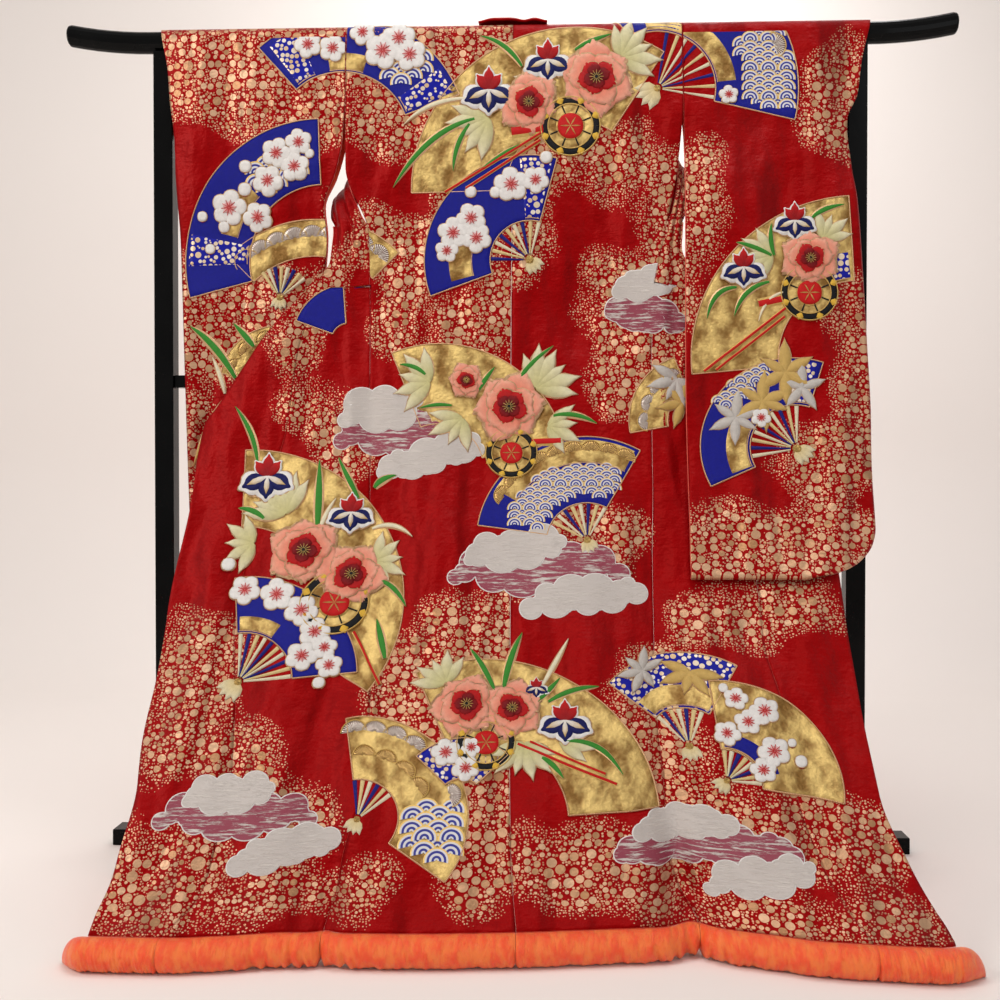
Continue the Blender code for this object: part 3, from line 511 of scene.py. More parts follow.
RIB_PALE = (0.82, 0.74, 0.52)
RIB_GOLD = (0.78, 0.60, 0.28)
RIB_DARK = (0.010, 0.014, 0.20)
LEAF_TONES = {"green": (0.045, 0.27, 0.030), "pale": (0.88, 0.80, 0.56),
              "gold": (0.66, 0.43, 0.13), "silver": (0.62, 0.57, 0.52)}
GROUNDS = {"gold": ("foil", GOLD), "silver": ("cloud", CLOUD_SILVER), "blue": ("satin", BLUE),
           "dots": ("dotted", BLUE), "purple": ("cloud", PURPLE)}

# fans: cloths, pivot x and b, inner and outer radius, first and last direction, ground, level
FANS = [
    ("body left", -0.315, 0.235, 0.130, 0.240, 20, 132, "blue", 0),
    ("left body", -0.370, 0.620, 0.165, 0.235, 45, 135, "gold", 0),
    ("left", -0.350, 0.465, 0.145, 0.270, 92, 195, "blue", 1),
    ("body", 0.130, 0.335, 0.130, 0.310, 57, 181, "gold", 0),
    ("body", 0.045, 0.470, 0.075, 0.200, 75, 200, "blue", 1),
    ("body right", 0.286, 0.145, 0.110, 0.265, -14, 119, "blue", 0),
    ("right", 0.655, 0.668, 0.150, 0.310, 93, 185, "gold", 0),
    ("right", 0.533, 0.840, 0.085, 0.175, 72, 205, "blue", 1),
    ("body", -0.125, 0.870, 0.085, 0.240, 13, 112, "gold", 0),
    ("body", 0.150, 1.010, 0.072, 0.200, 60, 172, "blue", 0),
    ("body", -0.475, 1.135, 0.150, 0.300, -34, 92, "gold", 0),
    ("body", -0.447, 1.284, 0.092, 0.200, 5, 100, "blue", 1),
    ("body", -0.221, 1.523, 0.065, 0.175, -35, 102, "gold", 0),
    ("body", -0.028, 1.525, 0.140, 0.285, 3, 114, "gold", 1),
    ("body", -0.060, 1.490, 0.035, 0.105, 45, 135, "dots", 2),
    ("body", 0.312, 1.400, 0.070, 0.175, 60, 138, "dots", 0),
    ("body", 0.366, 1.457, 0.055, 0.180, -10, 95, "gold", 1),
    ("left", -0.440, 0.700, 0.060, 0.110, 95, 170, "gold", 0),
    ("body", -0.300, 0.620, 0.030, 0.105, 95, 160, "blue", 1),
    ("body", 0.360, 0.780, 0.060, 0.130, 110, 190, "gold", 0),
]
INSETS = [
    ("body left", -0.315, 0.235, 0.135, 0.230, 22, 36, "dots", 0),
    ("left", -0.315, 0.235, 0.135, 0.230, 112, 128, "dots", 0),
    ("body left", -0.315, 0.235, 0.134, 0.168, 72, 100, "gold", 0),
    ("left", -0.350, 0.465, 0.175, 0.210, 135, 165, "gold", 1),
    ("left", -0.350, 0.465, 0.150, 0.265, 168, 182, "dots", 1),
    ("body", 0.045, 0.470, 0.080, 0.196, 77, 96, "dots", 1),
    ("body", 0.045, 0.470, 0.110, 0.155, 155, 196, "gold", 1),
    ("body right", 0.286, 0.145, 0.150, 0.260, 62, 117, "dots", 0),
    ("body right", 0.286, 0.145, 0.114, 0.150, 5, 100, "gold", 0),
    ("right", 0.533, 0.840, 0.090, 0.171, 75, 100, "dots", 1),
    ("right", 0.533, 0.840, 0.090, 0.130, 150, 203, "gold", 1),
    ("right", 0.655, 0.668, 0.155, 0.205, 95, 120, "dots", 0),
    ("body", 0.150, 1.010, 0.150, 0.195, 62, 150, "gold", 0),
    ("body", -0.447, 1.284, 0.096, 0.125, 60, 98, "gold", 1),
    ("body", 0.312, 1.400, 0.075, 0.115, 62, 136, "gold", 0),
    ("body", 0.366, 1.457, 0.058, 0.085, 10, 90, "blue", 1),
    ("body", -0.475, 1.135, 0.155, 0.190, -30, 5, "blue", 0),
]
WAVE_PARTS = [  # cloths, pivot x and b, inner and outer radius, directions, scale, level
    ("body", -0.315, 0.235, 0.150, 0.222, 36, 62, 0.021, 0),
    ("left", -0.350, 0.465, 0.160, 0.215, 104, 134, 0.021, 1),
    ("left", -0.350, 0.465, 0.160, 0.255, 180, 194, 0.021, 1),
    ("body right", 0.286, 0.145, 0.165, 0.250, -12, 32, 0.017, 0),
    ("body", 0.150, 1.010, 0.085, 0.145, 62, 168, 0.014, 0),
    ("body", -0.221, 1.523, 0.080, 0.165, -33, 10, 0.021, 0),
    ("right", 0.533, 0.840, 0.135, 0.168, 110, 150, 0.014, 1),
]
PINE_ROWS = [  # cloths, pivot x and b, row radius, directions, count, size, metal, level
    ("left body", -0.370, 0.620, 0.202, 52, 130, 9, 0.024, "silver", 0),
    ("body", -0.370, 0.620, 0.180, 60, 75, 2, 0.019, "gold", 0),
    ("body right", 0.286, 0.145, 0.232, 20, 108, 9, 0.024, "silver", 0),
    ("body right", 0.286, 0.145, 0.195, 50, 112, 5, 0.022, "gold", 0),
    ("body", 0.150, 1.010, 0.172, 66, 150, 9, 0.020, "gold", 0),
    ("body", -0.221, 1.523, 0.148, 16, 98, 7, 0.021, "silver", 0),
    ("body", -0.221, 1.523, 0.105, 30, 90, 4, 0.019, "gold", 0),
    ("body", 0.360, 0.780, 0.095, 120, 180, 4, 0.019, "silver", 0),
    ("left", -0.440, 0.700, 0.085, 105, 160, 3, 0.019, "gold", 0),
]
PLUMS = [  # cloth, x and b, radius
    ("left", -0.380, 0.052, 0.026), ("left", -0.332, 0.060, 0.026), ("body", -0.205, 0.042, 0.031),
    ("body", -0.236, 0.066, 0.035), ("body", -0.184, 0.074, 0.031), ("body", -0.275, 0.030, 0.024),
    ("left", -0.397, 0.240, 0.025), ("left", -0.440, 0.260, 0.028), ("left", -0.405, 0.286, 0.028),
    ("left", -0.457, 0.312, 0.029), ("left", -0.533, 0.362, 0.033), ("left", -0.478, 0.380, 0.028),
    ("body", 0.010, 0.326, 0.032), ("body", 0.056, 0.318, 0.025), ("body", -0.066, 0.390, 0.028),
    ("body", -0.100, 0.418, 0.029), ("body", -0.056, 0.428, 0.028), ("body", -0.112, 0.452, 0.022),
    ("body", -0.460, 1.110, 0.028), ("body", -0.400, 1.118, 0.031), ("body", -0.354, 1.148, 0.029),
    ("body", -0.327, 1.190, 0.027), ("body", -0.344, 1.235, 0.027), ("body", -0.307, 1.220, 0.022),
    ("body", -0.296, 1.254, 0.023), ("body", -0.087, 1.410, 0.024), ("body", -0.046, 1.402, 0.018),
    ("body", -0.054, 1.438, 0.022), ("body", 0.392, 1.310, 0.020), ("body", 0.436, 1.332, 0.025),
    ("body", 0.408, 1.352, 0.022), ("body", 0.373, 1.374, 0.022), ("body", 0.444, 1.404, 0.026),
    ("body", 0.424, 1.436, 0.021), ("right", 0.420, 0.160, 0.018), ("right", 0.470, 0.780, 0.018),
]
BUDS = [
    ("body", 0.076, 0.275, 0.012), ("body", -0.067, 0.340, 0.011), ("body", -0.020, 0.341, 0.011),
    ("body", -0.496, 1.060, 0.013), ("body", -0.310, 1.286, 0.011), ("body", 0.373, 1.291, 0.009),
    ("body", 0.475, 1.390, 0.008), ("body", 0.486, 1.422, 0.011), ("left", -0.500, 0.285, 0.012),
    ("left", -0.502, 0.328, 0.013), ("left", -0.586, 0.378, 0.010), ("left", -0.544, 0.398, 0.011),
    ("left", -0.376, 0.262, 0.009), ("left", -0.572, 0.440, 0.010),
]
PEONIES = [
    ("body", 0.171, 0.124, 0.066), ("body", 0.043, 0.170, 0.054), ("body", 0.007, 0.753, 0.062),
    ("body", -0.074, 0.702, 0.032), ("body", -0.360, 1.033, 0.061), ("body", -0.273, 1.080, 0.058),
    ("body", -0.057, 1.326, 0.054), ("body", 0.020, 1.333, 0.049), ("right", 0.566, 0.476, 0.050),
]
IRISES = [
    ("body", -0.033, 0.145, 0.052), ("body", 0.079, 0.088, 0.046), ("body", -0.440, 0.888, 0.052),
    ("body", -0.281, 0.958, 0.044), ("body", 0.108, 1.354, 0.045), ("body", 0.060, 1.294, 0.022),
    ("right", 0.538, 0.405, 0.040), ("right", 0.443, 0.492, 0.042),
]
WHEELS = [
    ("body", 0.122, 0.216, 0.056), ("body", 0.012, 0.842, 0.048), ("body", -0.298, 1.134, 0.060),
    ("body", -0.022, 1.394, 0.048), ("right", 0.564, 0.541, 0.052),
]
RIBS = [  # cloth, pivot x and b, inner and outer radius, directions, count, level
    ("body", 0.045, 0.470, 0.012, 0.073, 76, 178, 9, 1),
    ("body", 0.150, 1.010, 0.010, 0.070, 62, 150, 8, 0),
    ("body", -0.447, 1.284, 0.010, 0.090, 8, 96, 10, 1),
    ("body", 0.366, 1.457, 0.008, 0.053, 0, 90, 8, 1),
    ("body", 0.286, 0.145, 0.010, 0.108, -10, 80, 9, 0),
    ("right", 0.286, 0.145, 0.050, 0.108, -10, 60, 7, 0),
    ("body", -0.221, 1.523, 0.008, 0.063, 40, 100, 6, 0),
    ("body", 0.312, 1.400, 0.010, 0.068, 70, 134, 7, 0),
    ("left", -0.436, 0.535, 0.010, 0.060, 38, 125, 8, 2),
    ("right", 0.533, 0.840, 0.012, 0.083, 88, 190, 10, 1),
    ("left", -0.545, 0.800, 0.008, 0.050, 60, 110, 5, 0),
]
SHAFTS = [  # cloth, both ends, half width
    ("body", 0.070, 0.226, -0.116, 0.340, 0.0034), ("body", 0.065, 0.242, -0.076, 0.333, 0.0034),
    ("body", 0.010, 0.225, 0.070, 0.218, 0.0120), ("body", 0.030, 1.396, 0.190, 1.466, 0.0034),
    ("body", 0.050, 1.392, 0.172, 1.448, 0.0030), ("body", -0.260, 1.190, -0.205, 1.290, 0.0034),
    ("right", 0.520, 0.570, 0.368, 0.690, 0.0036), ("right", 0.518, 0.586, 0.390, 0.688, 0.0032),
    ("right", 0.470, 0.562, 0.515, 0.552, 0.0090), ("body", 0.050, 0.820, 0.104, 0.818, 0.0080),
]
BLADES = [  # cloth, foot, bend, tip, half width, tone
    ("body", (-0.06, 0.20), (-0.15, 0.22), (-0.215, 0.33), 0.006, "green"),
    ("body", (-0.07, 0.21), (-0.10, 0.25), (-0.10, 0.30), 0.005, "green"),
    ("body", (0.03, 0.10), (0.00, 0.05), (-0.05, 0.04), 0.005, "green"),
    ("body", (0.13, 0.07), (0.16, 0.05), (0.20, 0.04), 0.005, "green"),
    ("body", (-0.07, 0.16), (-0.15, 0.16), (-0.195, 0.21), 0.004, "pale"),
    ("body", (-0.15, 0.69), (-0.17, 0.67), (-0.20, 0.67), 0.005, "green"),
    ("body", (0.02, 0.71), (0.04, 0.67), (0.09, 0.635), 0.005, "green"),
    ("body", (0.09, 0.77), (0.13, 0.76), (0.17, 0.785), 0.005, "green"),
    ("body", (-0.05, 0.72), (-0.04, 0.70), (-0.02, 0.675), 0.005, "green"),
    ("body", (-0.10, 0.75), (-0.13, 0.745), (-0.16, 0.755), 0.004, "green"),
    ("body", (-0.46, 0.86), (-0.47, 0.80), (-0.51, 0.75), 0.005, "green"),
    ("body", (-0.34, 0.99), (-0.34, 0.93), (-0.345, 0.855), 0.007, "green"),
    ("body", (-0.27, 0.93), (-0.29, 0.89), (-0.31, 0.85), 0.005, "green"),
    ("body", (-0.44, 0.97), (-0.46, 0.95), (-0.49, 0.95), 0.006, "green"),
    ("body", (-0.24, 0.91), (-0.23, 0.89), (-0.20, 0.885), 0.006, "green"),
    ("body", (-0.22, 1.09), (-0.19, 1.10), (-0.17, 1.14), 0.005, "green"),
    ("body", (-0.20, 1.24), (-0.21, 1.20), (-0.22, 1.165), 0.006, "green"),
    ("body", (-0.24, 0.99), (-0.20, 0.97), (-0.165, 1.005), 0.004, "pale"),
    ("body", (-0.34, 1.01), (-0.33, 0.96), (-0.31, 0.93), 0.004, "pale"),
    ("body", (-0.01, 1.30), (-0.03, 1.25), (-0.055, 1.22), 0.005, "green"),
    ("body", (0.005, 1.30), (0.01, 1.24), (0.035, 1.19), 0.006, "green"),
    ("body", (0.06, 1.32), (0.08, 1.30), (0.10, 1.275), 0.005, "green"),
    ("body", (0.08, 1.32), (0.12, 1.29), (0.165, 1.29), 0.005, "green"),
    ("body", (0.11, 1.39), (0.17, 1.385), (0.20, 1.45), 0.005, "green"),
    ("body", (0.07, 1.42), (0.09, 1.43), (0.105, 1.455), 0.005, "green"),
    ("body", (0.07, 1.29), (0.09, 1.25), (0.115, 1.20), 0.004, "pale"),
    ("body", (-0.05, 0.30), (0.00, 0.26), (0.03, 0.25), 0.004, "green"),
    ("left", (-0.485, 0.63), (-0.50, 0.61), (-0.525, 0.585), 0.006, "green"),
    ("left", (-0.52, 0.69), (-0.56, 0.62), (-0.61, 0.59), 0.007, "green"),
    ("left", (-0.54, 0.72), (-0.55, 0.68), (-0.565, 0.65), 0.004, "pale"),
    ("left", (-0.50, 0.70), (-0.57, 0.75), (-0.60, 0.86), 0.006, "gold"),
    ("right", (0.57, 0.40), (0.59, 0.38), (0.63, 0.375), 0.005, "green"),
    ("right", (0.50, 0.47), (0.49, 0.44), (0.495, 0.41), 0.005, "green"),
    ("right", (0.495, 0.47), (0.46, 0.45), (0.43, 0.445), 0.005, "green"),
    ("right", (0.43, 0.53), (0.385, 0.53), (0.375, 0.59), 0.005, "green"),
    ("right", (0.49, 0.52), (0.44, 0.53), (0.425, 0.585), 0.005, "green"),
    ("right", (0.515, 0.54), (0.48, 0.55), (0.47, 0.595), 0.003, "pale"),
]
SPRAYS = [  # cloth, x and b, leaf length, directions, count, tone
    ("body", 0.216, 0.085, 0.060, -30, 100, 6, "pale"),
    ("body", -0.033, 0.200, 0.062, 160, 260, 5, "pale"),
    ("body", 0.074, 0.130, 0.050, 170, 250, 3, "pale"),
    ("body", 0.057, 0.715, 0.064, -10, 110, 6, "pale"),
    ("body", 0.080, 0.790, 0.050, -60, 40, 4, "pale"),
    ("body", -0.142, 0.705, 0.056, 100, 230, 5, "pale"),
    ("body", -0.080, 0.775, 0.052, 170, 280, 4, "pale"),
    ("body", -0.400, 0.960, 0.062, 60, 180, 7, "pale"),
    ("body", -0.455, 1.018, 0.048, 110, 250, 5, "pale"),
    ("body", -0.230, 1.053, 0.045, -60, 80, 5, "pale"),
    ("body", 0.040, 1.395, 0.052, 200, 340, 6, "pale"),
    ("body", -0.093, 1.284, 0.046, 60, 180, 5, "pale"),
    ("body", 0.099, 1.390, 0.046, -40, 40, 4, "pale"),
    ("right", 0.496, 0.470, 0.048, 120, 240, 5, "pale"),
    ("right", 0.590, 0.440, 0.045, 10, 100, 4, "pale"),
    ("body", 0.321, 1.262, 0.042, 160, 350, 5, "gold"),
    ("body", 0.240, 1.262, 0.036, 30, 300, 6, "silver"),
    ("body", 0.320, 0.700, 0.044, 150, 330, 5, "silver"),
    ("body", 0.330, 0.745, 0.040, 20, 250, 5, "gold"),
    ("right", 0.517, 0.692, 0.048, 30, 330, 6, "gold"),
    ("right", 0.473, 0.748, 0.046, 20, 340, 6, "gold"),
    ("right", 0.423, 0.780, 0.042, 20, 330, 6, "silver"),
    ("right", 0.547, 0.722, 0.038, 20, 300, 5, "silver"),
]
CLOUDS = [  # cloth, first x and b, last x and b, lobe radius, lobes, tone
    ("body", -0.300, 0.765, -0.170, 0.745, 0.034, 5, "silver"),
    ("body", -0.305, 0.805, -0.130, 0.790, 0.036, 6, "purple"),
    ("body", -0.225, 0.868, -0.050, 0.828, 0.030, 7, "silver"),
    ("body", -0.060, 1.038, 0.100, 1.012, 0.032, 6, "silver"),
    ("body", -0.085, 1.070, 0.205, 1.062, 0.035, 9, "purple"),
    ("body", 0.050, 1.132, 0.235, 1.106, 0.031, 7, "silver"),
    ("body", 0.215, 0.522, 0.320, 0.508, 0.028, 5, "silver"),
    ("body", 0.200, 0.560, 0.320, 0.590, 0.031, 6, "purple"),
    ("body", -0.490, 1.482, -0.365, 1.466, 0.026, 6, "silver"),
    ("body", -0.525, 1.512, -0.298, 1.512, 0.028, 9, "purple"),
    ("body", -0.395, 1.585, -0.262, 1.554, 0.028, 6, "silver"),
    ("body", 0.228, 1.540, 0.362, 1.532, 0.027, 6, "silver"),
    ("body", 0.195, 1.574, 0.452, 1.564, 0.031, 9, "purple"),
    ("body", 0.330, 1.634, 0.475, 1.590, 0.026, 6, "silver"),
]

# the threads and foils: colours as base colour, counts in a motif's own coordinates
SPRAY_WOBBLE = [(0.012, 41, 17), (0.009, -29, 53)]  # height, waves by x and by b
SATIN_ROUGH = 0.44
DOT_ROUGHER = -0.06
# the foil's gold in two tones that follow the crumple's height: painted shade in its hollows, painted
# highlight on its crests
FOIL_GOLD_IN_PAINTED_SHADE = (0.24, 0.115, 0.018, 1.0)
FOIL_GOLD_IN_PAINTED_HIGHLIGHT = (0.80, 0.56, 0.19, 1.0)
# pale strokes over the clouds: silver thread floats, and also painted sheen along the stitched
# strokes
CLOUD_FLOAT_AND_PAINTED_SHEEN = (0.62, 0.56, 0.51, 1.0)
BLUE_DOT_GOLD = (0.62, 0.42, 0.22, 1.0)
BLUE_DOT_PALE = (0.80, 0.72, 0.62, 1.0)
PINE_GROUND = (0.10, 0.012, 0.015, 1.0)
PINE_NEEDLES = 34.0
WAVE_DEEP = (0.008, 0.012, 0.22, 1.0)
WAVE_PALE = (0.60, 0.58, 0.60, 1.0)
WAVE_RINGS = 17.0
CORD_TWIST = 2600.0
CORD_SLANT = 1.6

# the panels, each between two seams
PANELS = [  # name, first and last seam, widest and longest, area of the cut
    ("okumi_left", -3, -2, 0.160, 1.31, 0.17), ("front_left", -2, -1, 0.240, 1.71, 0.33),
    ("back_left", -1, 0, 0.290, 1.71, 0.45), ("back_right", 0, 1, 0.290, 1.71, 0.47),
    ("front_right", 1, 2, 0.240, 1.71, 0.31), ("okumi_right", 2, 3, 0.160, 1.31, 0.16),
]
BAR_ROWS = 10
SEAM_CLEAR = 0.002
HIDDEN_FRONT_B = 0.30
SLEEVE_BAR_ROWS = 9
SLEEVE_FIRST = 0.006
SLEEVE_BOTTOM = 0.99
SLEEVE_BOTTOM_ROWS = 26
SLEEVE_COLUMNS = 53
SLEEVE_CROWD = 0.25
SLEEVE_FAR_U = 1.3
COLLAR_ROWS = 150
COLLAR_COLUMNS = 9
COLLAR_STEP = 0.003
NECK_TURN = (-20, 90)
NECK_ROWS = 34
NECK_COLUMNS = 42
NECK_CLEAR = 0.0006
NECK_TOP = 0.2
NECK_ROUND = 1.2
NECK_SAG = 0.009
NECK_DIPS = [(0.66, 0.10, 0.6), (0.0, 0.12, 0.8), (1.0, 0.12, 0.8)]  # share across, width, depth

# the hem roll's tips, its pinches and its ripples
ROLL_TIP_U = 0.345
ROLL_TIP_SPAN = 0.35
ROLL_LEAST = 0.004
ROLL_STEPS = 150
ROLL_TIP_STEPS = 16
ROLL_PINCH = 1.3
ROLL_PUCKERS = [  # u, depth, half width in u: gathers and pinches of the padded roll
    (-2.90, 0.05, 0.030), (-2.62, 0.04, 0.025), (-2.30, 0.05, 0.030), (-2.00, 0.12, 0.014),
    (-1.75, 0.04, 0.030), (-1.55, 0.05, 0.020), (-1.42, 0.12, 0.025), (-1.33, 0.08, 0.020),
    (-1.18, 0.22, 0.018), (-1.10, 0.10, 0.020), (-1.0, 0.34, 0.014), (-0.93, 0.12, 0.018),
    (-0.87, 0.16, 0.022), (-0.74, 0.06, 0.022), (-0.52, 0.05, 0.030), (-0.2, 0.05, 0.040),
    (0.0, 0.14, 0.010), (0.30, 0.05, 0.030), (0.55, 0.06, 0.030), (0.76, 0.10, 0.022),
    (0.86, 0.14, 0.018), (0.93, 0.18, 0.016), (1.0, 0.38, 0.016), (1.07, 0.14, 0.018),
    (1.14, 0.12, 0.020), (1.30, 0.07, 0.024), (1.50, 0.05, 0.030), (1.72, 0.06, 0.024),
    (2.0, 0.16, 0.012), (2.25, 0.05, 0.030), (2.60, 0.05, 0.030), (2.9, 0.05, 0.030),
]
GATHERS_LEAST = 0.4
GATHERS_SPREAD = 0.30
GATHERS_DRAW = 0.03
RIPPLE_SWAY = 2.2
GATHERED_RIPPLES = [  # height, waves a panel, sway, turns round the roll
    (0.045, 131, RIPPLE_SWAY, 0), (0.030, 83, 0.0, 3),
]
EVEN_RIPPLE = (0.014, 37, 2)

# the motifs' shapes, in shares of their radius where they aren't lifts
RIM = 0.0016
DISC_RIM = 0.0008
DISC_RIM_MOST = 0.2
RIBBON_ACROSS = np.array([-1.0, -0.55, 0.0, 0.55, 1.0])[None, :]
ARC_CELL = 0.005
PETAL_RIM = (0.03, 0.10)
PETAL_FOOT = 0.10
PETAL_TIP = 0.985
PETAL_BLUNT = 0.65
PETAL_CUP = 0.16
PETAL_BLEND = 1.4
FRILL_WAVES = 7.0
PLUM_OUT = 0.56
PLUM_DISCS = [  # radius, layer, crown, finish, thread, points each way
    (0.53, 0, 0.0, "cord", COUCHED, 7), (0.48, 1, 0.0013, "satin", WHITE, 9),
]
PLUM_STAR = (0.50, 0.17)
PLUM_STAMEN = (0.06, 0.46)
BUD_CUP = (0.55, 0.62)
BUD_EDGE = 1.10
BUD_BALL = 0.98
PEONY_RINGS = [  # petals, reach, half width, foot and tip colour, finish, layer
    (6, 1.14, 0.56, COUCHED, COUCHED, "cord", 0.0), (6, 1.10, 0.52, CORAL, PALE_PEACH, "satin", 0.6),
    (6, 0.88, 0.44, COUCHED, COUCHED, "cord", 4.6), (6, 0.85, 0.41, CORAL, PALE_PEACH, "satin", 5.0),
    (5, 0.60, 0.33, COUCHED, COUCHED, "cord", 8.6), (5, 0.57, 0.30, CRIMSON, SCARLET, "satin", 9.0),
    (4, 0.40, 0.22, HEART, CRIMSON, "satin", 13.0),
]
PEONY_OUTER_LAYER = 2
PEONY_SWAY = 9
PEONY_UNEVEN = 0.08
PEONY_FRILL = 0.08
PEONY_EYE = 0.13
PEONY_STAMEN = (0.05, 0.20)
PEONY_TURN = 900
PLUM_TURN = 700
IRIS_FALLS = [(205, 1.15, 0.52), (-25, 1.15, 0.52), (270, 1.00, 0.46)]  # way, reach, half width
IRIS_FALL_LAYERS = [  # reach, half width, layer, crown, finish, foot, tip, fullness, points
    (1.04, 1.06, 0, 0.0004, "cord", COUCHED, COUCHED, 0.8, (9, 7)),
    (1.00, 1.00, 1, 0.0006, "satin", WHITE, WHITE, 0.8, (9, 7)),
    (0.88, 0.68, 3, 0.0008, "satin", NAVY, NAVY, 0.9, (9, 7)),
    (0.70, 0.24, 6, 0.0006, "satin", WHITE, GOLD, 0.9, (6, 5)),
]
IRIS_STANDARDS = [(128, 0.80), (52, 0.80), (90, 0.95)]
IRIS_STANDARD_LAYERS = [
    (1.00, 0.26, 3, 0.0003, WHITE, WHITE, 0.9), (0.92, 0.21, 4, 0.0013, CRIMSON, SCARLET, 0.95),
]
PINE_HALF_TURN = 88
PINE_FOOT = 0.10
PINE_EDGE = 1.02
WAVE_ROW = 0.55
WAVE_TURN = (-12, 192)
WAVE_HEART = 0.06
RIB_THREADS = (RIB_PALE, RIB_GOLD, RIB_DARK)
RIB_HALF = (0.0014, 0.0030)
TASSEL_STRANDS = 4
TASSEL_SPREAD = (36, 24)
TASSEL_LENGTH = (0.42, 0.026)
TASSEL_HALF = (0.12, 0.007)
RIVET = 0.7
WHEEL_RINGS = [  # radius, half width, crown, layer, finish, thread
    (0.86, 0.17, 0.0008, 0, "satin", BLACK), (1.0, 0.028, 0.0009, 3, "cord", GOLD),
    (0.76, 0.028, 0.0009, 3, "cord", GOLD),
]
WHEEL_FACE = 0.95
WHEEL_SPOKE = (0.30, 0.75)
WHEEL_LOBE = (0.80, 0.26, 0.15)
WHEEL_HUB = (0.50, 0.45)
WHEEL_STAR = (0.36, 0.030)
CLOUD_LAYERS = ((0.0022, 0), (0.0, 1))
CLOUD_SIZE = (0.80, 0.26, 2.4, 30)
CLOUD_TAPER = (0.6, 0.5)
CLOUD_SWAY = (0.42, 1.9, 1.0)
EDGE_CORD = (0.0015, 0.0013)
INSET_CORD = (0.0011, 0.0010)
SHAFT_EDGE = 1.35
BLADE_FULL = 1.3
BLADE_EDGE = 1.25
BLADE_LEAST = 0.0004
LEAF_LONGER = (1.25, 0.15, 2.2)
LEAF_HALF = 0.18
LEAF_EDGE = (1.03, 0.21)
LEAF_EDGE_LEVEL = 1.6

# the photograph's viewpoint and the studio
CAMERA_PLACE = (0.076, -2.315, 0.7066)
CAMERA_TURN = (math.pi / 2 - 0.0147, 0.0, 0.0384)
CAMERA_SENSOR = 36.0
CAMERA_LENS = 43.06
CAMERA_FAR = 60.0
FLOOR_FRONT = (-6.0, -2.0)
FLOOR_SIDE = 6.0
BEND_START = 1.6
BEND_RADIUS = 0.9
WALL_TOP = 5.0
PAPER_GLOW = 1.04
LAMPS = [  # name, place, aim, size, power, colour
    ("key", (-2.8, -2.2, 2.6), (0.0, 0.0, 0.9), 1.1, 62.0, (1.0, 0.97, 0.93)),
    ("fill", (2.4, -2.8, 1.8), (0.0, 0.0, 0.8), 2.0, 15.0, (0.96, 0.98, 1.0)),
    ("top", (0.2, -0.9, 3.4), (0.0, -0.2, 0.6), 1.8, 30.0, (1.0, 1.0, 1.0)),
    ("back", (0.3, 1.3, 2.9), (0.0, 2.4, 1.0), 1.6, 26.0, (1.0, 1.0, 1.0)),
]
SKY = (1.0, 0.97, 0.95, 1.0)
SKY_POWER = 0.48


def roll_frame(u):
    """Middle line of the hem roll at u, and its radius: a half round at each tip."""
    inside = np.clip(u, -3.0, 3.0)
    own = np.where(np.abs(inside) > 0.01, inside, 0.01)
    ends = np.array([sheet_point(np.array([i]), np.array([LENGTH]), o)[0]
                     for i, o in zip(inside, own)])
    beyond = np.maximum((np.abs(u) - np.abs(inside)) / ROLL_TIP_SPAN, 0.0)
    radius = ROLL_R * np.sqrt(np.maximum(1 - beyond ** 2, 0.0))
    x = ends[:, 0] + np.sign(u) * ROLL_TIP * beyond
    slip = smooth(HEM_LINE, 1, x) - smooth(HEM_LINE, 1, ends[:, 0])
    return x, ends[:, 1] + slip - ROLL_BEHIND, np.maximum(radius, ROLL_LEAST)


def spray(bands, x, b):
    """Density of the scattered dots: 1 well inside any band, 0 on its edge, -1 outside."""
    total = np.full(x.shape, -1.0)
    wobble = sum(height * np.sin(x * by_x + b * by_b) for height, by_x, by_b in SPRAY_WOBBLE)
    for x0, b0, x1, b1, half in bands:
        dx, db = x1 - x0, b1 - b0
        along = np.clip(((x - x0) * dx + (b - b0) * db) / (dx * dx + db * db), 0, 1)
        away = np.hypot(x - x0 - along * dx, b - b0 - along * db)
        total = np.maximum(total, (half - away + wobble) / SPRAY_EDGE)
    return np.clip(total, -1, 1)


def add_uv(mesh, name, uv):
    """A UV map from one place for each point."""
    corner = np.zeros(len(mesh.loops), dtype=np.int32)
    mesh.loops.foreach_get("vertex_index", corner)
    layer = mesh.uv_layers.new(name=name)
    layer.data.foreach_set("uv", np.asarray(uv, dtype=np.float32)[corner].reshape(-1))


def new_mesh(name, verts, faces, uv, slots, face_slots=None, fields=None):
    """A piece from arrays: points, quads or triangles, a UV map by point and point fields."""
    mesh = bpy.data.meshes.new(name)
    mesh.from_pydata(np.asarray(verts, dtype=float).tolist(), [], [tuple(f) for f in faces])
    for mat in slots:
        mesh.materials.append(mat)
    if face_slots is not None:
        mesh.polygons.foreach_set("material_index", np.asarray(face_slots, dtype=np.int32))
    add_uv(mesh, "cloth", uv)
    for field, values in (fields or {}).items():
        attribute = mesh.attributes.new(field, "FLOAT", "POINT")
        attribute.data.foreach_set("value", np.asarray(values, dtype=np.float32))
    mesh.shade_smooth()
    mesh.update()
    obj = bpy.data.objects.new(name, mesh)
    bpy.context.scene.collection.objects.link(obj)
    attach(obj, "root")
    return obj


def stands_for(obj, solid):
    """Puts a piece in place of its solid, which it hides."""
    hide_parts(solid)
    return obj


def grid_faces(rows, columns, start=0, flip=False, around=False):
    """Quads of a grid of points stored row by row, closed round its columns if asked."""
    r = np.arange(rows - 1)[:, None]
    c = np.arange(columns if around else columns - 1)[None, :]
    d = (c + 1) % columns
    a, e = start + r * columns + c, start + (r + 1) * columns + c
    f, g = start + (r + 1) * columns + d, start + r * columns + d
    quad = np.stack([a, e, f, g], axis=-1).reshape(-1, 4)
    return quad[:, ::-1] if flip else quad


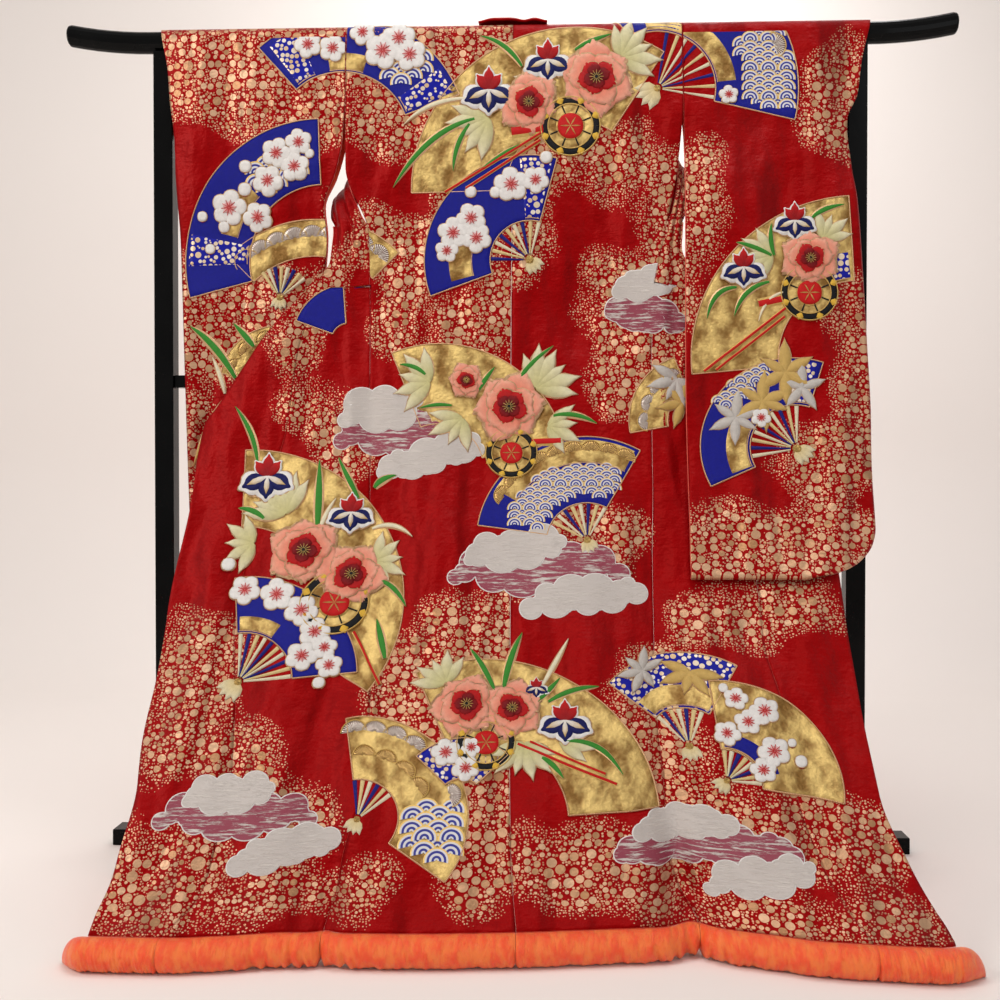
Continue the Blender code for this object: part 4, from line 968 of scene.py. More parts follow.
def shell(name, middle, normal, thickness, uv, mats, field):
    """A closed wall of cloth: face side, lining side and the turned edge round them."""
    rows, columns = middle.shape[:2]
    count = rows * columns
    verts = np.vstack([(middle + normal * thickness / 2).reshape(-1, 3),
                       (middle - normal * thickness / 2).reshape(-1, 3)])
    face = grid_faces(rows, columns)
    lining = grid_faces(rows, columns, count, flip=True)
    top = np.arange(columns)
    bottom = (rows - 1) * columns + top
    first = np.arange(rows) * columns
    last = first + columns - 1
    edges = []
    for line, turned in ((top, False), (last, False), (bottom, True), (first, True)):
        a, d = line[:-1], line[1:]
        quad = np.stack([a, d, count + d, count + a], axis=-1)
        edges.append(quad[:, ::-1] if turned else quad)
    edge = np.vstack(edges)
    faces = np.vstack([face, lining, edge])
    face_slots = np.concatenate([np.zeros(len(face)), np.ones(len(lining)), np.full(len(edge), 2)])
    both = np.vstack([uv.reshape(-1, 2)] * 2)
    twice = np.tile(np.broadcast_to(field, (rows, columns)).reshape(-1), 2)
    return new_mesh(name, verts, faces.tolist(), both, mats, face_slots, {"spray": twice})


def fill(tree, made, inputs):
    """Fills a node's sockets, each with a value or a link."""
    for key, value in inputs.items():
        socket = made.inputs[key]
        if isinstance(value, bpy.types.NodeSocket):
            tree.links.new(value, socket)
        else:
            socket.default_value = value
    return made


def shader(name):
    """A new material, its node tree and its surface shader."""
    mat = bpy.data.materials.new(name)
    mat.use_nodes = True
    return mat, mat.node_tree, mat.node_tree.nodes["Principled BSDF"]


def node(tree, kind, inputs=None, **settings):
    """Adds a node, sets its properties and fills its sockets."""
    made = tree.nodes.new(kind)
    for key, value in settings.items():
        setattr(made, key, value)
    return fill(tree, made, inputs or {})


def maths(tree, operation, a, b=0.0, c=0.0):
    """One Math node's result."""
    return node(tree, "ShaderNodeMath", {0: a, 1: b, 2: c}, operation=operation).outputs[0]


def times(tree, a, b):
    """Product of two numbers."""
    return maths(tree, "MULTIPLY", a, b)


def less(tree, a, b):
    """The first number less the second."""
    return maths(tree, "SUBTRACT", a, b)


def layered(tree, *layers):
    """Sum of heights, each times its weight."""
    total = 0.0
    for height, weight in layers:
        total = maths(tree, "MULTIPLY_ADD", height, weight, total)
    return total


def between(tree, value, low, high):
    """0 below low, 1 above high, smooth in between."""
    made = node(tree, "ShaderNodeMapRange", {"Value": value, "From Min": low, "From Max": high},
                interpolation_type="SMOOTHSTEP")
    return made.outputs[0]


def blend(tree, share, a, b):
    """Mix of two colours."""
    return node(tree, "ShaderNodeMix", {0: share, 6: a, 7: b}, data_type="RGBA").outputs[2]


def darker(tree, colour, share, least):
    """A colour multiplied by a number between least and 1."""
    grey = node(tree, "ShaderNodeMapRange", {"Value": share, "To Min": least, "To Max": 1.0})
    return node(tree, "ShaderNodeMix", {0: 1.0, 6: colour, 7: grey.outputs[0]}, data_type="RGBA",
                blend_type="MULTIPLY").outputs[2]


def cloth_place(tree):
    """The cloth's own x across and b down, in metres, as a vector."""
    return node(tree, "ShaderNodeUVMap", uv_map="cloth").outputs[0]


def motif_place(tree):
    """A motif's own two coordinates."""
    vector = node(tree, "ShaderNodeUVMap", uv_map="motif").outputs[0]
    return node(tree, "ShaderNodeSeparateXYZ", {0: vector}).outputs


def tinted(tree):
    """The thread's own colour, set on each motif."""
    return node(tree, "ShaderNodeAttribute", attribute_name="tint").outputs["Color"]


def stretched(tree, vector, x=1.0, y=1.0, turn=0.0):
    """The cloth's coordinates scaled to a thread's length and width."""
    return node(tree, "ShaderNodeMapping", {"Vector": vector, "Scale": (x, y, 1.0),
                                            "Rotation": (0.0, 0.0, turn)}).outputs[0]


def noise(tree, vector, scale, detail=2.0, rough=0.5):
    """Soft noise between 0 and 1 on the cloth's coordinates."""
    return node(tree, "ShaderNodeTexNoise", {"Vector": vector, "Scale": scale, "Detail": detail,
                                             "Roughness": rough}, noise_dimensions="2D").outputs[0]


def solid_noise(tree, scale, detail):
    """Soft noise between 0 and 1 through the space a piece fills."""
    place = node(tree, "ShaderNodeTexCoord").outputs["Object"]
    return node(tree, "ShaderNodeTexNoise", {"Vector": place, "Scale": scale,
                                             "Detail": detail}).outputs[0]


def bump(tree, principled, height, distance, strength=1.0):
    """Surface relief from a height, in metres."""
    made = node(tree, "ShaderNodeBump", {"Height": height, "Distance": distance,
                                         "Strength": strength})
    tree.links.new(made.outputs[0], principled.inputs["Normal"])


def dot_cells(tree, place, scale):
    """Scattered middles: distance to the nearest, the room round it, its place and number."""
    settings = {"Vector": place, "Scale": scale, "Randomness": DOT_SCATTER}
    near = node(tree, "ShaderNodeTexVoronoi", settings, voronoi_dimensions="2D", feature="F1")
    room = node(tree, "ShaderNodeTexVoronoi", settings, voronoi_dimensions="2D",
                feature="N_SPHERE_RADIUS")
    own = node(tree, "ShaderNodeSeparateColor", {0: near.outputs["Color"]}).outputs[0]
    return (maths(tree, "DIVIDE", near.outputs["Distance"], scale),
            maths(tree, "DIVIDE", room.outputs["Radius"], scale), near.outputs["Position"], own)


def dot_layer(tree, place, scale, gap, shrink=1.0, bigger=()):
    """Packed round dots: each circle fills the room to its nearest neighbour, less a gap.

    A dot of a finer layer shrinks to stay clear of the bigger dots as they show there.
    Gives how far inside its dot a place lies, the dot's radius and a number that differs by dot.
    """
    distance, room, middle, own = dot_cells(tree, place, scale)
    radius = times(tree, less(tree, room, gap), shrink)
    for other_scale, other_gap, other_shrink in bigger:
        away, taken, _, _ = dot_cells(tree, middle, other_scale)
        shown = times(tree, less(tree, taken, other_gap), other_shrink)
        free = less(tree, away, maths(tree, "MAXIMUM", shown, 0.0))
        radius = maths(tree, "MINIMUM", radius, less(tree, free, gap))
    return between(tree, less(tree, radius, distance), -DOT_SOFT, DOT_SOFT), radius, own


def make_red_silk():
    """Red satin with packed gold and pink dots where the spray field is high."""
    mat, tree, silk = shader("red_silk")
    place = cloth_place(tree)
    field = node(tree, "ShaderNodeAttribute", attribute_name="spray").outputs["Fac"]
    red = blend(tree, noise(tree, place, scale=26.0, detail=3.0), RED_DEEP, RED_BRIGHT)
    total, gold, bigger = None, None, []
    for scale, gap, start, grow, metal in DOT_LAYERS:
        shrink = between(tree, field, start, start + grow)
        mask, size, own = dot_layer(tree, place, scale, gap, shrink, bigger)
        bigger.append((scale, gap, shrink))
        mask = times(tree, mask, maths(tree, "GREATER_THAN", size, DOT_LEAST))
        pale = blend(tree, own, metal, DOT_PALE)
        gold = pale if total is None else blend(tree, total, pale, gold)
        total = mask if total is None else maths(tree, "MAXIMUM", total, mask)
    fill(tree, silk, {
        "Base Color": blend(tree, total, red, gold), "Metallic": times(tree, total, DOT_METAL),
        "Roughness": maths(tree, "MULTIPLY_ADD", total, DOT_ROUGHER, SATIN_ROUGH),
        "Specular IOR Level": 0.60, "Specular Tint": (1.0, 0.05, 0.04, 1.0),
    })
    weave = noise(tree, stretched(tree, place, y=7.0), scale=900.0, detail=1.0)
    crumple = noise(tree, place, scale=34.0, detail=3.0, rough=0.6)
    pucker = noise(tree, stretched(tree, place, y=3.4), scale=60.0)
    fold = noise(tree, stretched(tree, place, y=0.30, turn=0.12), scale=9.0, rough=0.45)
    relief = layered(tree, (pucker, 0.4), (crumple, 2.4), (weave, 0.05), (fold, 42.0))
    bump(tree, silk, relief, distance=0.0019, strength=0.9)
    return mat


def make_plain_silk(name, deep, bright, rough=0.42, relief=0.0006, across=1.0):
    """Plain woven silk in two close tones."""
    mat, tree, silk = shader(name)
    place = cloth_place(tree)
    weave = noise(tree, stretched(tree, place, y=6.0), scale=700.0, detail=1.0)
    cloudy = noise(tree, stretched(tree, place, x=across), scale=30.0, detail=4.0, rough=0.6)
    fill(tree, silk, {"Base Color": blend(tree, between(tree, cloudy, 0.3, 0.7), deep, bright),
                      "Roughness": rough, "Sheen Weight": 0.1})
    bump(tree, silk, layered(tree, (cloudy, 2.0), (weave, 0.15)), relief)
    return mat


def make_lacquer():
    """Black lacquer: deep gloss with a faint unevenness under the coat."""
    mat, tree, wood = shader("black_lacquer")
    soft = solid_noise(tree, scale=14.0, detail=3.0)
    fill(tree, wood, {"Base Color": blend(tree, soft, LACQUER_DEEP, LACQUER_WORN),
                      "Roughness": maths(tree, "MULTIPLY_ADD", soft, 0.10, 0.10),
                      "Specular IOR Level": 0.06, "Coat Weight": 0.06, "Coat Roughness": 0.06})
    bump(tree, wood, soft, distance=0.0006, strength=0.35)
    return mat


def make_foil():
    """Pressed metal leaf on paper thread: crumpled, with fine slits across."""
    mat, tree, leaf = shader("gold_foil")
    place = cloth_place(tree)
    crumple = noise(tree, stretched(tree, place, x=1.3, turn=0.5), scale=20.0, detail=3.0, rough=0.55)
    slits = noise(tree, stretched(tree, place, y=5.0), scale=600.0, detail=1.0)
    fine = noise(tree, stretched(tree, place, y=1.4, turn=0.9), scale=85.0, detail=3.0, rough=0.6)
    # gold darker where the crumple is low and lighter where it is high: painted shade and painted
    # highlight of the crumpled leaf
    tone = blend(tree, between(tree, crumple, 0.30, 0.68), FOIL_GOLD_IN_PAINTED_SHADE, FOIL_GOLD_IN_PAINTED_HIGHLIGHT)
    fill(tree, leaf, {"Base Color": darker(tree, tone, slits, least=0.78), "Metallic": 0.55,
                      "Roughness": maths(tree, "MULTIPLY_ADD", slits, 0.25, 0.30)})
    relief = layered(tree, (crumple, 4.0), (fine, 1.0), (slits, 0.1))
    bump(tree, leaf, relief, distance=0.0024, strength=0.9)
    return mat


def make_cloud_thread():
    """Silver thread floats laid across in ragged strokes over the cloud's own colour; their pale tone
    is also painted sheen.
    """
    mat, tree, thread = shader("cloud_thread")
    place = cloth_place(tree)
    strokes = noise(tree, stretched(tree, place, y=9.0), scale=22.0, detail=5.0, rough=0.75)
    lines = noise(tree, stretched(tree, place, y=8.0), scale=420.0, detail=1.0)
    # the pale strokes: silver thread and painted sheen
    mask = between(tree, strokes, 0.50, 0.62)
    colour = blend(tree, mask, tinted(tree), CLOUD_FLOAT_AND_PAINTED_SHEEN)
    fill(tree, thread, {"Base Color": darker(tree, colour, lines, least=0.75), "Metallic": 0.12,
                        "Roughness": 0.38})
    bump(tree, thread, layered(tree, (mask, 1.0), (lines, 1.0)), distance=0.0004, strength=0.7)
    return mat


def make_satin_thread():
    """Flat silk thread laid side by side, in the motif's own colour."""
    mat, tree, silk = shader("satin_thread")
    place = cloth_place(tree)
    strand = noise(tree, stretched(tree, place, y=9.0, turn=0.6), scale=520.0, detail=1.0)
    soft = noise(tree, place, scale=120.0)
    share = layered(tree, (soft, 0.5), (strand, 0.6))
    fill(tree, silk, {"Base Color": darker(tree, tinted(tree), share, least=0.55),
                      "Roughness": 0.38, "Specular IOR Level": 0.15})
    bump(tree, silk, strand, distance=0.0005, strength=0.7)
    return mat


def make_dotted_silk():
    """Blue ground covered with small pale dots."""
    mat, tree, silk = shader("dotted_silk")
    mask, _, own = dot_layer(tree, cloth_place(tree), scale=92.0, gap=0.0004)
    pale = blend(tree, own, BLUE_DOT_GOLD, BLUE_DOT_PALE)
    fill(tree, silk, {"Base Color": blend(tree, mask, BLUE, pale), "Roughness": 0.4,
                      "Metallic": times(tree, mask, 0.4), "Specular IOR Level": 0.15})
    bump(tree, silk, mask, distance=0.0004, strength=0.6)
    return mat


def make_pine_thread():
    """Metal needles that spread from the tuft's foot over a dark ground."""
    mat, tree, thread = shader("pine_thread")
    stripe = maths(tree, "SINE", times(tree, motif_place(tree)[0], PINE_NEEDLES))
    mask = between(tree, stripe, -0.7, 0.3)
    fill(tree, thread, {"Base Color": blend(tree, mask, PINE_GROUND, tinted(tree)),
                        "Metallic": 0.55, "Roughness": 0.36})
    bump(tree, thread, mask, distance=0.0005, strength=0.8)
    return mat


def make_wave_thread():
    """Wave scales: rings of pale and deep blue thread with a gold outer ring."""
    mat, tree, thread = shader("wave_thread")
    out = motif_place(tree)[1]
    mask = between(tree, maths(tree, "SINE", times(tree, out, WAVE_RINGS)), -0.25, 0.25)
    edge = between(tree, out, 0.86, 0.90)
    rings = blend(tree, mask, WAVE_DEEP, WAVE_PALE)
    fill(tree, thread, {"Base Color": blend(tree, edge, rings, GOLD + (1.0,)), "Roughness": 0.38,
                        "Metallic": times(tree, edge, 0.6)})
    bump(tree, thread, mask, distance=0.0004, strength=0.6)
    return mat


def make_couched_cord():
    """Metal cord: twisted strands in the motif's own colour."""
    mat, tree, cord = shader("couched_cord")
    place = motif_place(tree)
    twist = layered(tree, (place[1], CORD_SLANT), (place[0], CORD_TWIST))
    strand = maths(tree, "SINE", twist)
    share = maths(tree, "MULTIPLY_ADD", strand, 0.5, 0.5)
    fill(tree, cord, {"Base Color": darker(tree, tinted(tree), share, least=0.55),
                      "Metallic": 0.65, "Roughness": 0.34})
    bump(tree, cord, strand, distance=0.0003, strength=0.7)
    return mat


def cloth_middle(cloth, x, b):
    """Middle of the wall at x across and b down one stretch of cloth."""
    if cloth == "body":
        return np.stack([x, sheet_y(x, b), path_z(b) + 0 * x], axis=-1)
    y, z = sleeve_near(CLOTH_SIDE[cloth], x, b)
    return np.stack(np.broadcast_arrays(x, y, z), axis=-1)


def cloth_room(cloth, b):
    """Lowest and highest x that the pattern may cover at b."""
    if cloth == "body":
        spread = b >= FRONTS_FLAT_B
        low = smooth(BACK_SEAMS, 1, b) - np.where(spread, flap_across(-1, -3.0, b)[1], 0.0)
        high = smooth(BACK_SEAMS, 3, b) + np.where(spread, flap_across(1, 3.0, b)[1], 0.0)
    else:
        ends = np.stack(sleeve_side(CLOTH_SIDE[cloth], b))
        low, high = ends.min(axis=0), ends.max(axis=0)
    return low + PATTERN_EDGE, high - PATTERN_EDGE


def add_patch(cloth, x, b, lift, finish, tint, local):
    """One raised patch of the pattern: a grid of x and b laid on a cloth at a height above it.

    Its points outside the cloth are drawn in to the edge, and its faces there are left out.
    """
    x, b, lift = (np.array(v, dtype=float) for v in np.broadcast_arrays(x, b, lift))
    b_in = np.clip(b, *PATTERN_B[cloth])
    x_in = np.clip(x, *cloth_room(cloth, b_in))
    outside = ((x != x_in) | (b != b_in)).reshape(-1)
    faces = grid_faces(*x.shape)
    flat = np.stack([x_in, -b_in], axis=-1).reshape(-1, 2)
    one, two = flat[faces[:, 2]] - flat[faces[:, 0]], flat[faces[:, 3]] - flat[faces[:, 1]]
    area = one[:, 0] * two[:, 1] - one[:, 1] * two[:, 0]
    keep = ~outside[faces].all(axis=1) & (np.abs(area) > LEAST_AREA)
    faces = faces[keep]
    if len(faces) == 0:
        return
    if area[keep].sum() < 0:
        faces = faces[:, ::-1]
    step = NORMAL_STEP_B
    near = cloth_middle(cloth, np.stack([x_in, x_in + step, x_in - step, x_in, x_in]),
                        np.stack([b_in, b_in, b_in, b_in + step, b_in - step]))
    normal = np.cross(near[3] - near[4], near[1] - near[2])
    normal = normal / np.linalg.norm(normal, axis=-1, keepdims=True)
    points = near[0] + normal * (WALL / 2 + lift)[..., None]
    tint = np.broadcast_to(np.asarray(tint, dtype=float)[..., :3], x.shape + (3,)).reshape(-1, 3)
    local = np.stack(np.broadcast_arrays(*local, x)[:2], axis=-1).reshape(-1, 2)
    used = np.unique(faces)
    number = np.zeros(x.size, dtype=int)
    number[used] = np.arange(len(used))
    PATCHES[cloth].append((points.reshape(-1, 3)[used], number[faces], flat[used], local[used],
                           tint[used], np.full(len(faces), FINISHES.index(finish))))


def polar(x, b, reach, way):
    """Places at a distance and a direction, in degrees, from x and b; up is less b."""
    a = math.radians(way)
    return x + reach * math.cos(a), b - reach * math.sin(a)


def round_about(count, first=0.0):
    """Directions evenly round a circle, in degrees."""
    return [first + 360 * k / count for k in range(count)]


def fanned(start, end, count):
    """Directions evenly from start to end, in degrees."""
    return [start + (end - start) * k / max(count - 1, 1) for k in range(count)]


def rim_steps(low, high, cell, rim=RIM):
    """Even steps from low to high with one extra step close to each end."""
    inner = np.linspace(low + rim, high - rim, max(int((high - low) / cell), 1) + 1)
    return np.concatenate([[low], inner, [high]])


def rim_height(shape, lift):
    """A patch's height: even, with its outermost points tucked under the silk's face."""
    return tuck_rim(np.full(shape, lift))


def tuck_rim(height):
    """Tucks a patch's outermost points under the silk's face."""
    height[[0, -1], :] = TUCK
    height[:, [0, -1]] = TUCK
    return height


def ring_part(cloth, px, pb, inner, outer, start, end, lift, finish, tint):
    """Part of a ring about a pivot: x + r cos a across and b - r sin a down."""
    r = rim_steps(inner, outer, PATTERN_CELL)
    a0, a1 = math.radians(start), math.radians(end)
    a = rim_steps(a0, a1, PATTERN_CELL / outer, RIM / outer)
    r, a = np.meshgrid(r, a, indexing="ij")
    add_patch(cloth, px + r * np.cos(a), pb - r * np.sin(a), rim_height(r.shape, lift), finish,
              tint, (a * 10, r * 10))


def disc(cloth, x, b, radius, lift, crown, finish, tint, count=9, tucked=True):
    """A round patch on a square grid bent into a circle, highest in its middle."""
    steps = rim_steps(-1.0, 1.0, 2.0 / (count - 3), min(DISC_RIM / radius, DISC_RIM_MOST))
    u, v = np.meshgrid(steps, steps, indexing="ij")
    across, up = u * np.sqrt(1 - v * v / 2), v * np.sqrt(1 - u * u / 2)
    share = np.hypot(across, up)
    height = rim_height(u.shape, lift) if tucked else np.full(u.shape, lift)
    height[1:-1, 1:-1] += crown * (1 - share[1:-1, 1:-1] ** 2)
    add_patch(cloth, x + radius * across, b - radius * up, height, finish, tint,
              (np.arctan2(up, across), share))


def ribbon(cloth, x, b, half, lift, crown, finish, tint):
    """A rounded strip along a line of x and b, with its half width at each point."""
    along = np.concatenate([[0], np.cumsum(np.hypot(np.diff(x), np.diff(b)))])
    run_x, run_b = np.gradient(x), np.gradient(b)
    size = np.hypot(run_x, run_b) + LEAST_AREA
    t = RIBBON_ACROSS
    half = np.broadcast_to(half, x.shape)
    place_x = x[:, None] - (run_b / size * half)[:, None] * t
    place_b = b[:, None] + (run_x / size * half)[:, None] * t
    height = lift + crown * (1 - t ** 2) + 0 * place_x
    height[:, [0, -1]] = TUCK
    add_patch(cloth, place_x, place_b, height, finish, tint, (along[:, None] + 0 * t, t))


def bend_line(start, bend, tip, count=14):
    """Points of a curve that leaves start, leans towards bend and ends at tip."""
    t = np.linspace(0, 1, count)
    weights = ((1 - t) ** 2, 2 * t * (1 - t), t ** 2)
    return [sum(w * p[k] for w, p in zip(weights, (start, bend, tip))) for k in (0, 1)]


def arc_line(px, pb, radius, start, end):
    """Points of an arc about a pivot."""
    count = max(int(radius * math.radians(abs(end - start)) / ARC_CELL), 4)
    a = np.radians(np.linspace(start, end, count))
    return px + radius * np.cos(a), pb - radius * np.sin(a)


def petal(cloth, x, b, turn, length, half, lift, crown, finish, foot, tip, fullness=0.75,
          frill=0.0, size=(9, 7)):
    """A petal or leaf from its foot: half width grows as the sine of its length's power."""
    s, t = np.meshgrid(rim_steps(0.0, 1.0, 1.0 / (size[0] - 3), PETAL_RIM[0]),
                       rim_steps(-1.0, 1.0, 2.0 / (size[1] - 3), PETAL_RIM[1]), indexing="ij")
    a = math.radians(turn)
    round_off = np.sin(math.pi * np.minimum(s, PETAL_TIP) ** (1 / fullness)) ** PETAL_BLUNT
    side = half * (PETAL_FOOT + (1 - PETAL_FOOT) * round_off) * t
    along = length * s * (1 - PETAL_CUP * t ** 2 * s)
    along = along * (1 + frill * np.cos(t * FRILL_WAVES) * s ** 2)
    height = lift + crown * (1 - t ** 2) * np.sin(math.pi * np.clip(s, 0.05, 0.95))
    height[-1, :] = TUCK
    height[:, [0, -1]] = TUCK
    share = (s ** PETAL_BLEND)[..., None]
    tint = np.asarray(foot)[:3] * (1 - share) + np.asarray(tip)[:3] * share
    add_patch(cloth, x + along * math.cos(a) - side * math.sin(a),
              b - along * math.sin(a) - side * math.cos(a), height, finish, tint, (t, s))


def spoke(cloth, x, b, way, reach, half, lift, crown, finish, tint):
    """A thin strip straight out from a middle."""
    ribbon(cloth, *polar(x, b, reach, way), half, lift, crown, finish, tint)


def plum(cloth, x, b, radius, lift, turn=90.0):
    """A plum blossom: five round padded petals edged in gold, and fine stamens."""
    for share, layer, crown, finish, tint, count in PLUM_DISCS:
        for way in round_about(5, turn):
            disc(cloth, *polar(x, b, PLUM_OUT * radius, way), radius * share,
                 lift + layer * LAYER, crown, finish, tint, count)
    for way in round_about(5, turn):
        petal(cloth, x, b, way, radius * PLUM_STAR[0], radius * PLUM_STAR[1], lift + 5 * LAYER,
              0.0004, "satin", PINK, WHITE, fullness=0.8, size=(6, 5))
    reach = np.linspace(*PLUM_STAMEN, 3) * radius
    for way in round_about(10, turn):
        spoke(cloth, x, b, way, reach, 0.0008, lift + 7 * LAYER, 0.0003, "satin", SCARLET)


def bud(cloth, x, b, radius, lift):
    """A round plum bud in its red cup."""
    disc(cloth, x, b + radius * BUD_CUP[0], radius * BUD_CUP[1], lift, 0.0004, "satin", CRIMSON, 7)
    disc(cloth, x, b, radius * BUD_EDGE, lift + LAYER, 0.0, "cord", COUCHED, 7)
    disc(cloth, x, b, radius * BUD_BALL, lift + 2 * LAYER, 0.0010, "satin", WHITE, 7)


def peony(cloth, x, b, radius, lift, turn=0.0):
    """A peony: three rings of frilled petals round a crimson heart with gold threads."""
    for count, reach, half, foot, tip, finish, layer in PEONY_RINGS:
        for k, way in enumerate(round_about(count, turn)):
            way = way + (180 / count if layer > PEONY_OUTER_LAYER else 0)
            way = way + PEONY_SWAY * math.sin(3.0 * k + layer)
            longer = reach * (1 + PEONY_UNEVEN * math.sin(2.0 * k + turn))
            petal(cloth, x, b, way, radius * longer, radius * half, lift + layer * LAYER,
                  0.0012 if finish == "satin" else 0.0, finish, foot, tip, frill=PEONY_FRILL,
                  size=(8, 8))
    disc(cloth, x, b, radius * PEONY_EYE, lift + 17 * LAYER, 0.0008, "satin", BLACK, 7)
    reach = np.linspace(*PEONY_STAMEN, 3) * radius
    for way in round_about(12):
        spoke(cloth, x, b, way, reach, 0.0007, lift + 19 * LAYER, 0.0004, "cord", GOLD)


def iris(cloth, x, b, radius, lift):
    """An iris: navy and white falls hanging to both sides, red standards above."""
    for way, reach, half in IRIS_FALLS:
        for longer, wider, layer, crown, finish, foot, tip, fullness, size in IRIS_FALL_LAYERS:
            petal(cloth, x, b, way, radius * reach * longer, radius * half * wider,
                  lift + layer * LAYER, crown, finish, foot, tip, fullness, size=size)
    for way, reach in IRIS_STANDARDS:
        for longer, half, layer, crown, foot, tip, fullness in IRIS_STANDARD_LAYERS:
            petal(cloth, x, b, way, radius * reach * longer, radius * half, lift + layer * LAYER,
                  crown, "satin", foot, tip, fullness)


def pine(cloth, x, b, radius, turn, lift, tint):
    """A pine tuft: a half disc of fine needles with couched cord round its outer edge."""
    ways = rim_steps(-PINE_HALF_TURN, PINE_HALF_TURN, 14, 4)
    r, a = np.meshgrid(rim_steps(PINE_FOOT, 1.0, 0.3, 0.05), np.radians(ways), indexing="ij")
    way = a + math.radians(turn)
    height = tuck_rim(lift + 0.0007 * np.cos(a) * np.sin(math.pi * r * 0.9))
    add_patch(cloth, x + radius * r * np.cos(way), b - radius * r * np.sin(way), height, "pine",
              tint, (a, r))
    edge = arc_line(x, b, radius * PINE_EDGE, turn - PINE_HALF_TURN, turn + PINE_HALF_TURN)
    ribbon(cloth, *edge, 0.0013, lift + LAYER, 0.0008, "cord", GOLD)


def waves(cloth, px, pb, inner, outer, start, end, scale, lift):
    """Rows of overlapping wave scales inside part of a fan, lower rows over upper ones."""
    r, a = np.meshgrid(np.linspace(WAVE_HEART, 1, 5), np.radians(np.linspace(*WAVE_TURN, 13)),
                       indexing="ij")
    for k in range(int(2 * outer / (scale * 0.5)) + 2):
        b = pb - outer + k * scale * WAVE_ROW
        first = px - outer + (k % 2) * scale
        for x in np.arange(first, px + outer, scale * 2):
            reach = math.hypot(x - px, pb - b)
            way = math.degrees(math.atan2(pb - b, x - px))
            if inner < reach < outer and start < way < end:
                height = lift + LAYER * (k % 6) * 0.5 + 0 * r
                add_patch(cloth, x + scale * r * np.cos(a), b - scale * r * np.sin(a), height,
                          "wave", PALE_BLUE, (a, r))


def ribs(cloth, px, pb, inner, outer, start, end, count, lift):
    """A fan's bamboo ribs: thin sticks that run together at the rivet, with a tassel there."""
    reach = np.linspace(inner, outer, 8)
    half = RIB_HALF[0] + RIB_HALF[1] * (reach - inner) / (outer - inner)
    for k, way in enumerate(fanned(start, end, count)):
        spoke(cloth, px, pb, way, reach, half, lift, 0.0011, "satin", RIB_THREADS[k % 3])
    for k in range(TASSEL_STRANDS):
        way = (start + end) / 2 + 180 - TASSEL_SPREAD[0] + TASSEL_SPREAD[1] * k
        petal(cloth, px, pb, way, max(outer * TASSEL_LENGTH[0], TASSEL_LENGTH[1]),
              max(outer * TASSEL_HALF[0], TASSEL_HALF[1]), lift, 0.0009, "satin", RIB_GOLD,
              RIB_PALE, fullness=1.2, size=(6, 5))
    disc(cloth, px, pb, inner * RIVET, lift + 3 * LAYER, 0.0008, "cord", GOLD, 5)


def wheel(cloth, x, b, radius, lift):
    """A flower cart's wheel: black rim with gold lines, yellow lobes, spokes and a red hub."""
    disc(cloth, x, b, radius * WHEEL_FACE, lift - LAYER, 0.0, "foil", GOLD, 11)
    for reach, half, crown, layer, finish, tint in WHEEL_RINGS:
        ribbon(cloth, *arc_line(x, b, radius * reach, 0, 360), radius * half,
               lift + layer * LAYER, crown, finish, tint)
    reach = np.linspace(*WHEEL_SPOKE, 4) * radius
    out, length, half = (radius * share for share in WHEEL_LOBE)
    for way in round_about(8, 22.5):
        spoke(cloth, x, b, way, reach, 0.0022, lift, 0.0008, "satin", BLACK)
        petal(cloth, *polar(x, b, out, way), way, length, half, lift + 4 * LAYER, 0.0008,
              "satin", YELLOW, YELLOW, fullness=1.0, size=(5, 5))
    disc(cloth, x, b, radius * WHEEL_HUB[0], lift + 2 * LAYER, 0.0, "cord", GOLD, 9)
    disc(cloth, x, b, radius * WHEEL_HUB[1], lift + 3 * LAYER, 0.0012, "satin", SCARLET, 9)
    for way in round_about(6):
        petal(cloth, x, b, way, radius * WHEEL_STAR[0], radius * WHEEL_STAR[1], lift + 7 * LAYER,
              0.0005, "cord", GOLD, GOLD, fullness=0.8, size=(5, 5))


def couched_edge(cloth, px, pb, inner, outer, start, end, lift):
    """Gold cord laid round a fan's paper."""
    half, crown = EDGE_CORD
    for radius in (inner, outer):
        ribbon(cloth, *arc_line(px, pb, radius, start, end), half, lift, crown, "cord", COUCHED)
    for way in (start, end):
        spoke(cloth, px, pb, way, np.linspace(inner, outer, 14), half, lift, crown, "cord", COUCHED)


def cloud_band(cloth, x0, b0, x1, b1, radius, count, lift, finish, tint):
    """A lobed cloud: overlapping rounds along a line, over the same rounds in white, a bit bigger."""
    even, uneven, pace, start = CLOUD_SIZE
    for (extra, layer), what, colour in zip(CLOUD_LAYERS, ("satin", finish), (WHITE, tint)):
        for k in range(count * 2):
            t = k / (count * 2 - 1)
            size = radius * (even + uneven * math.sin(pace * k + x0 * start))
            size = size * (CLOUD_TAPER[0] + CLOUD_TAPER[1] * math.sin(math.pi * t))
            sway = radius * CLOUD_SWAY[0] * math.sin(CLOUD_SWAY[1] * k + CLOUD_SWAY[2])
            disc(cloth, x0 + (x1 - x0) * t, b0 + (b1 - b0) * t + sway, size + extra,
                 lift + layer * LAYER, 0.0, what, colour, 11, extra > 0)


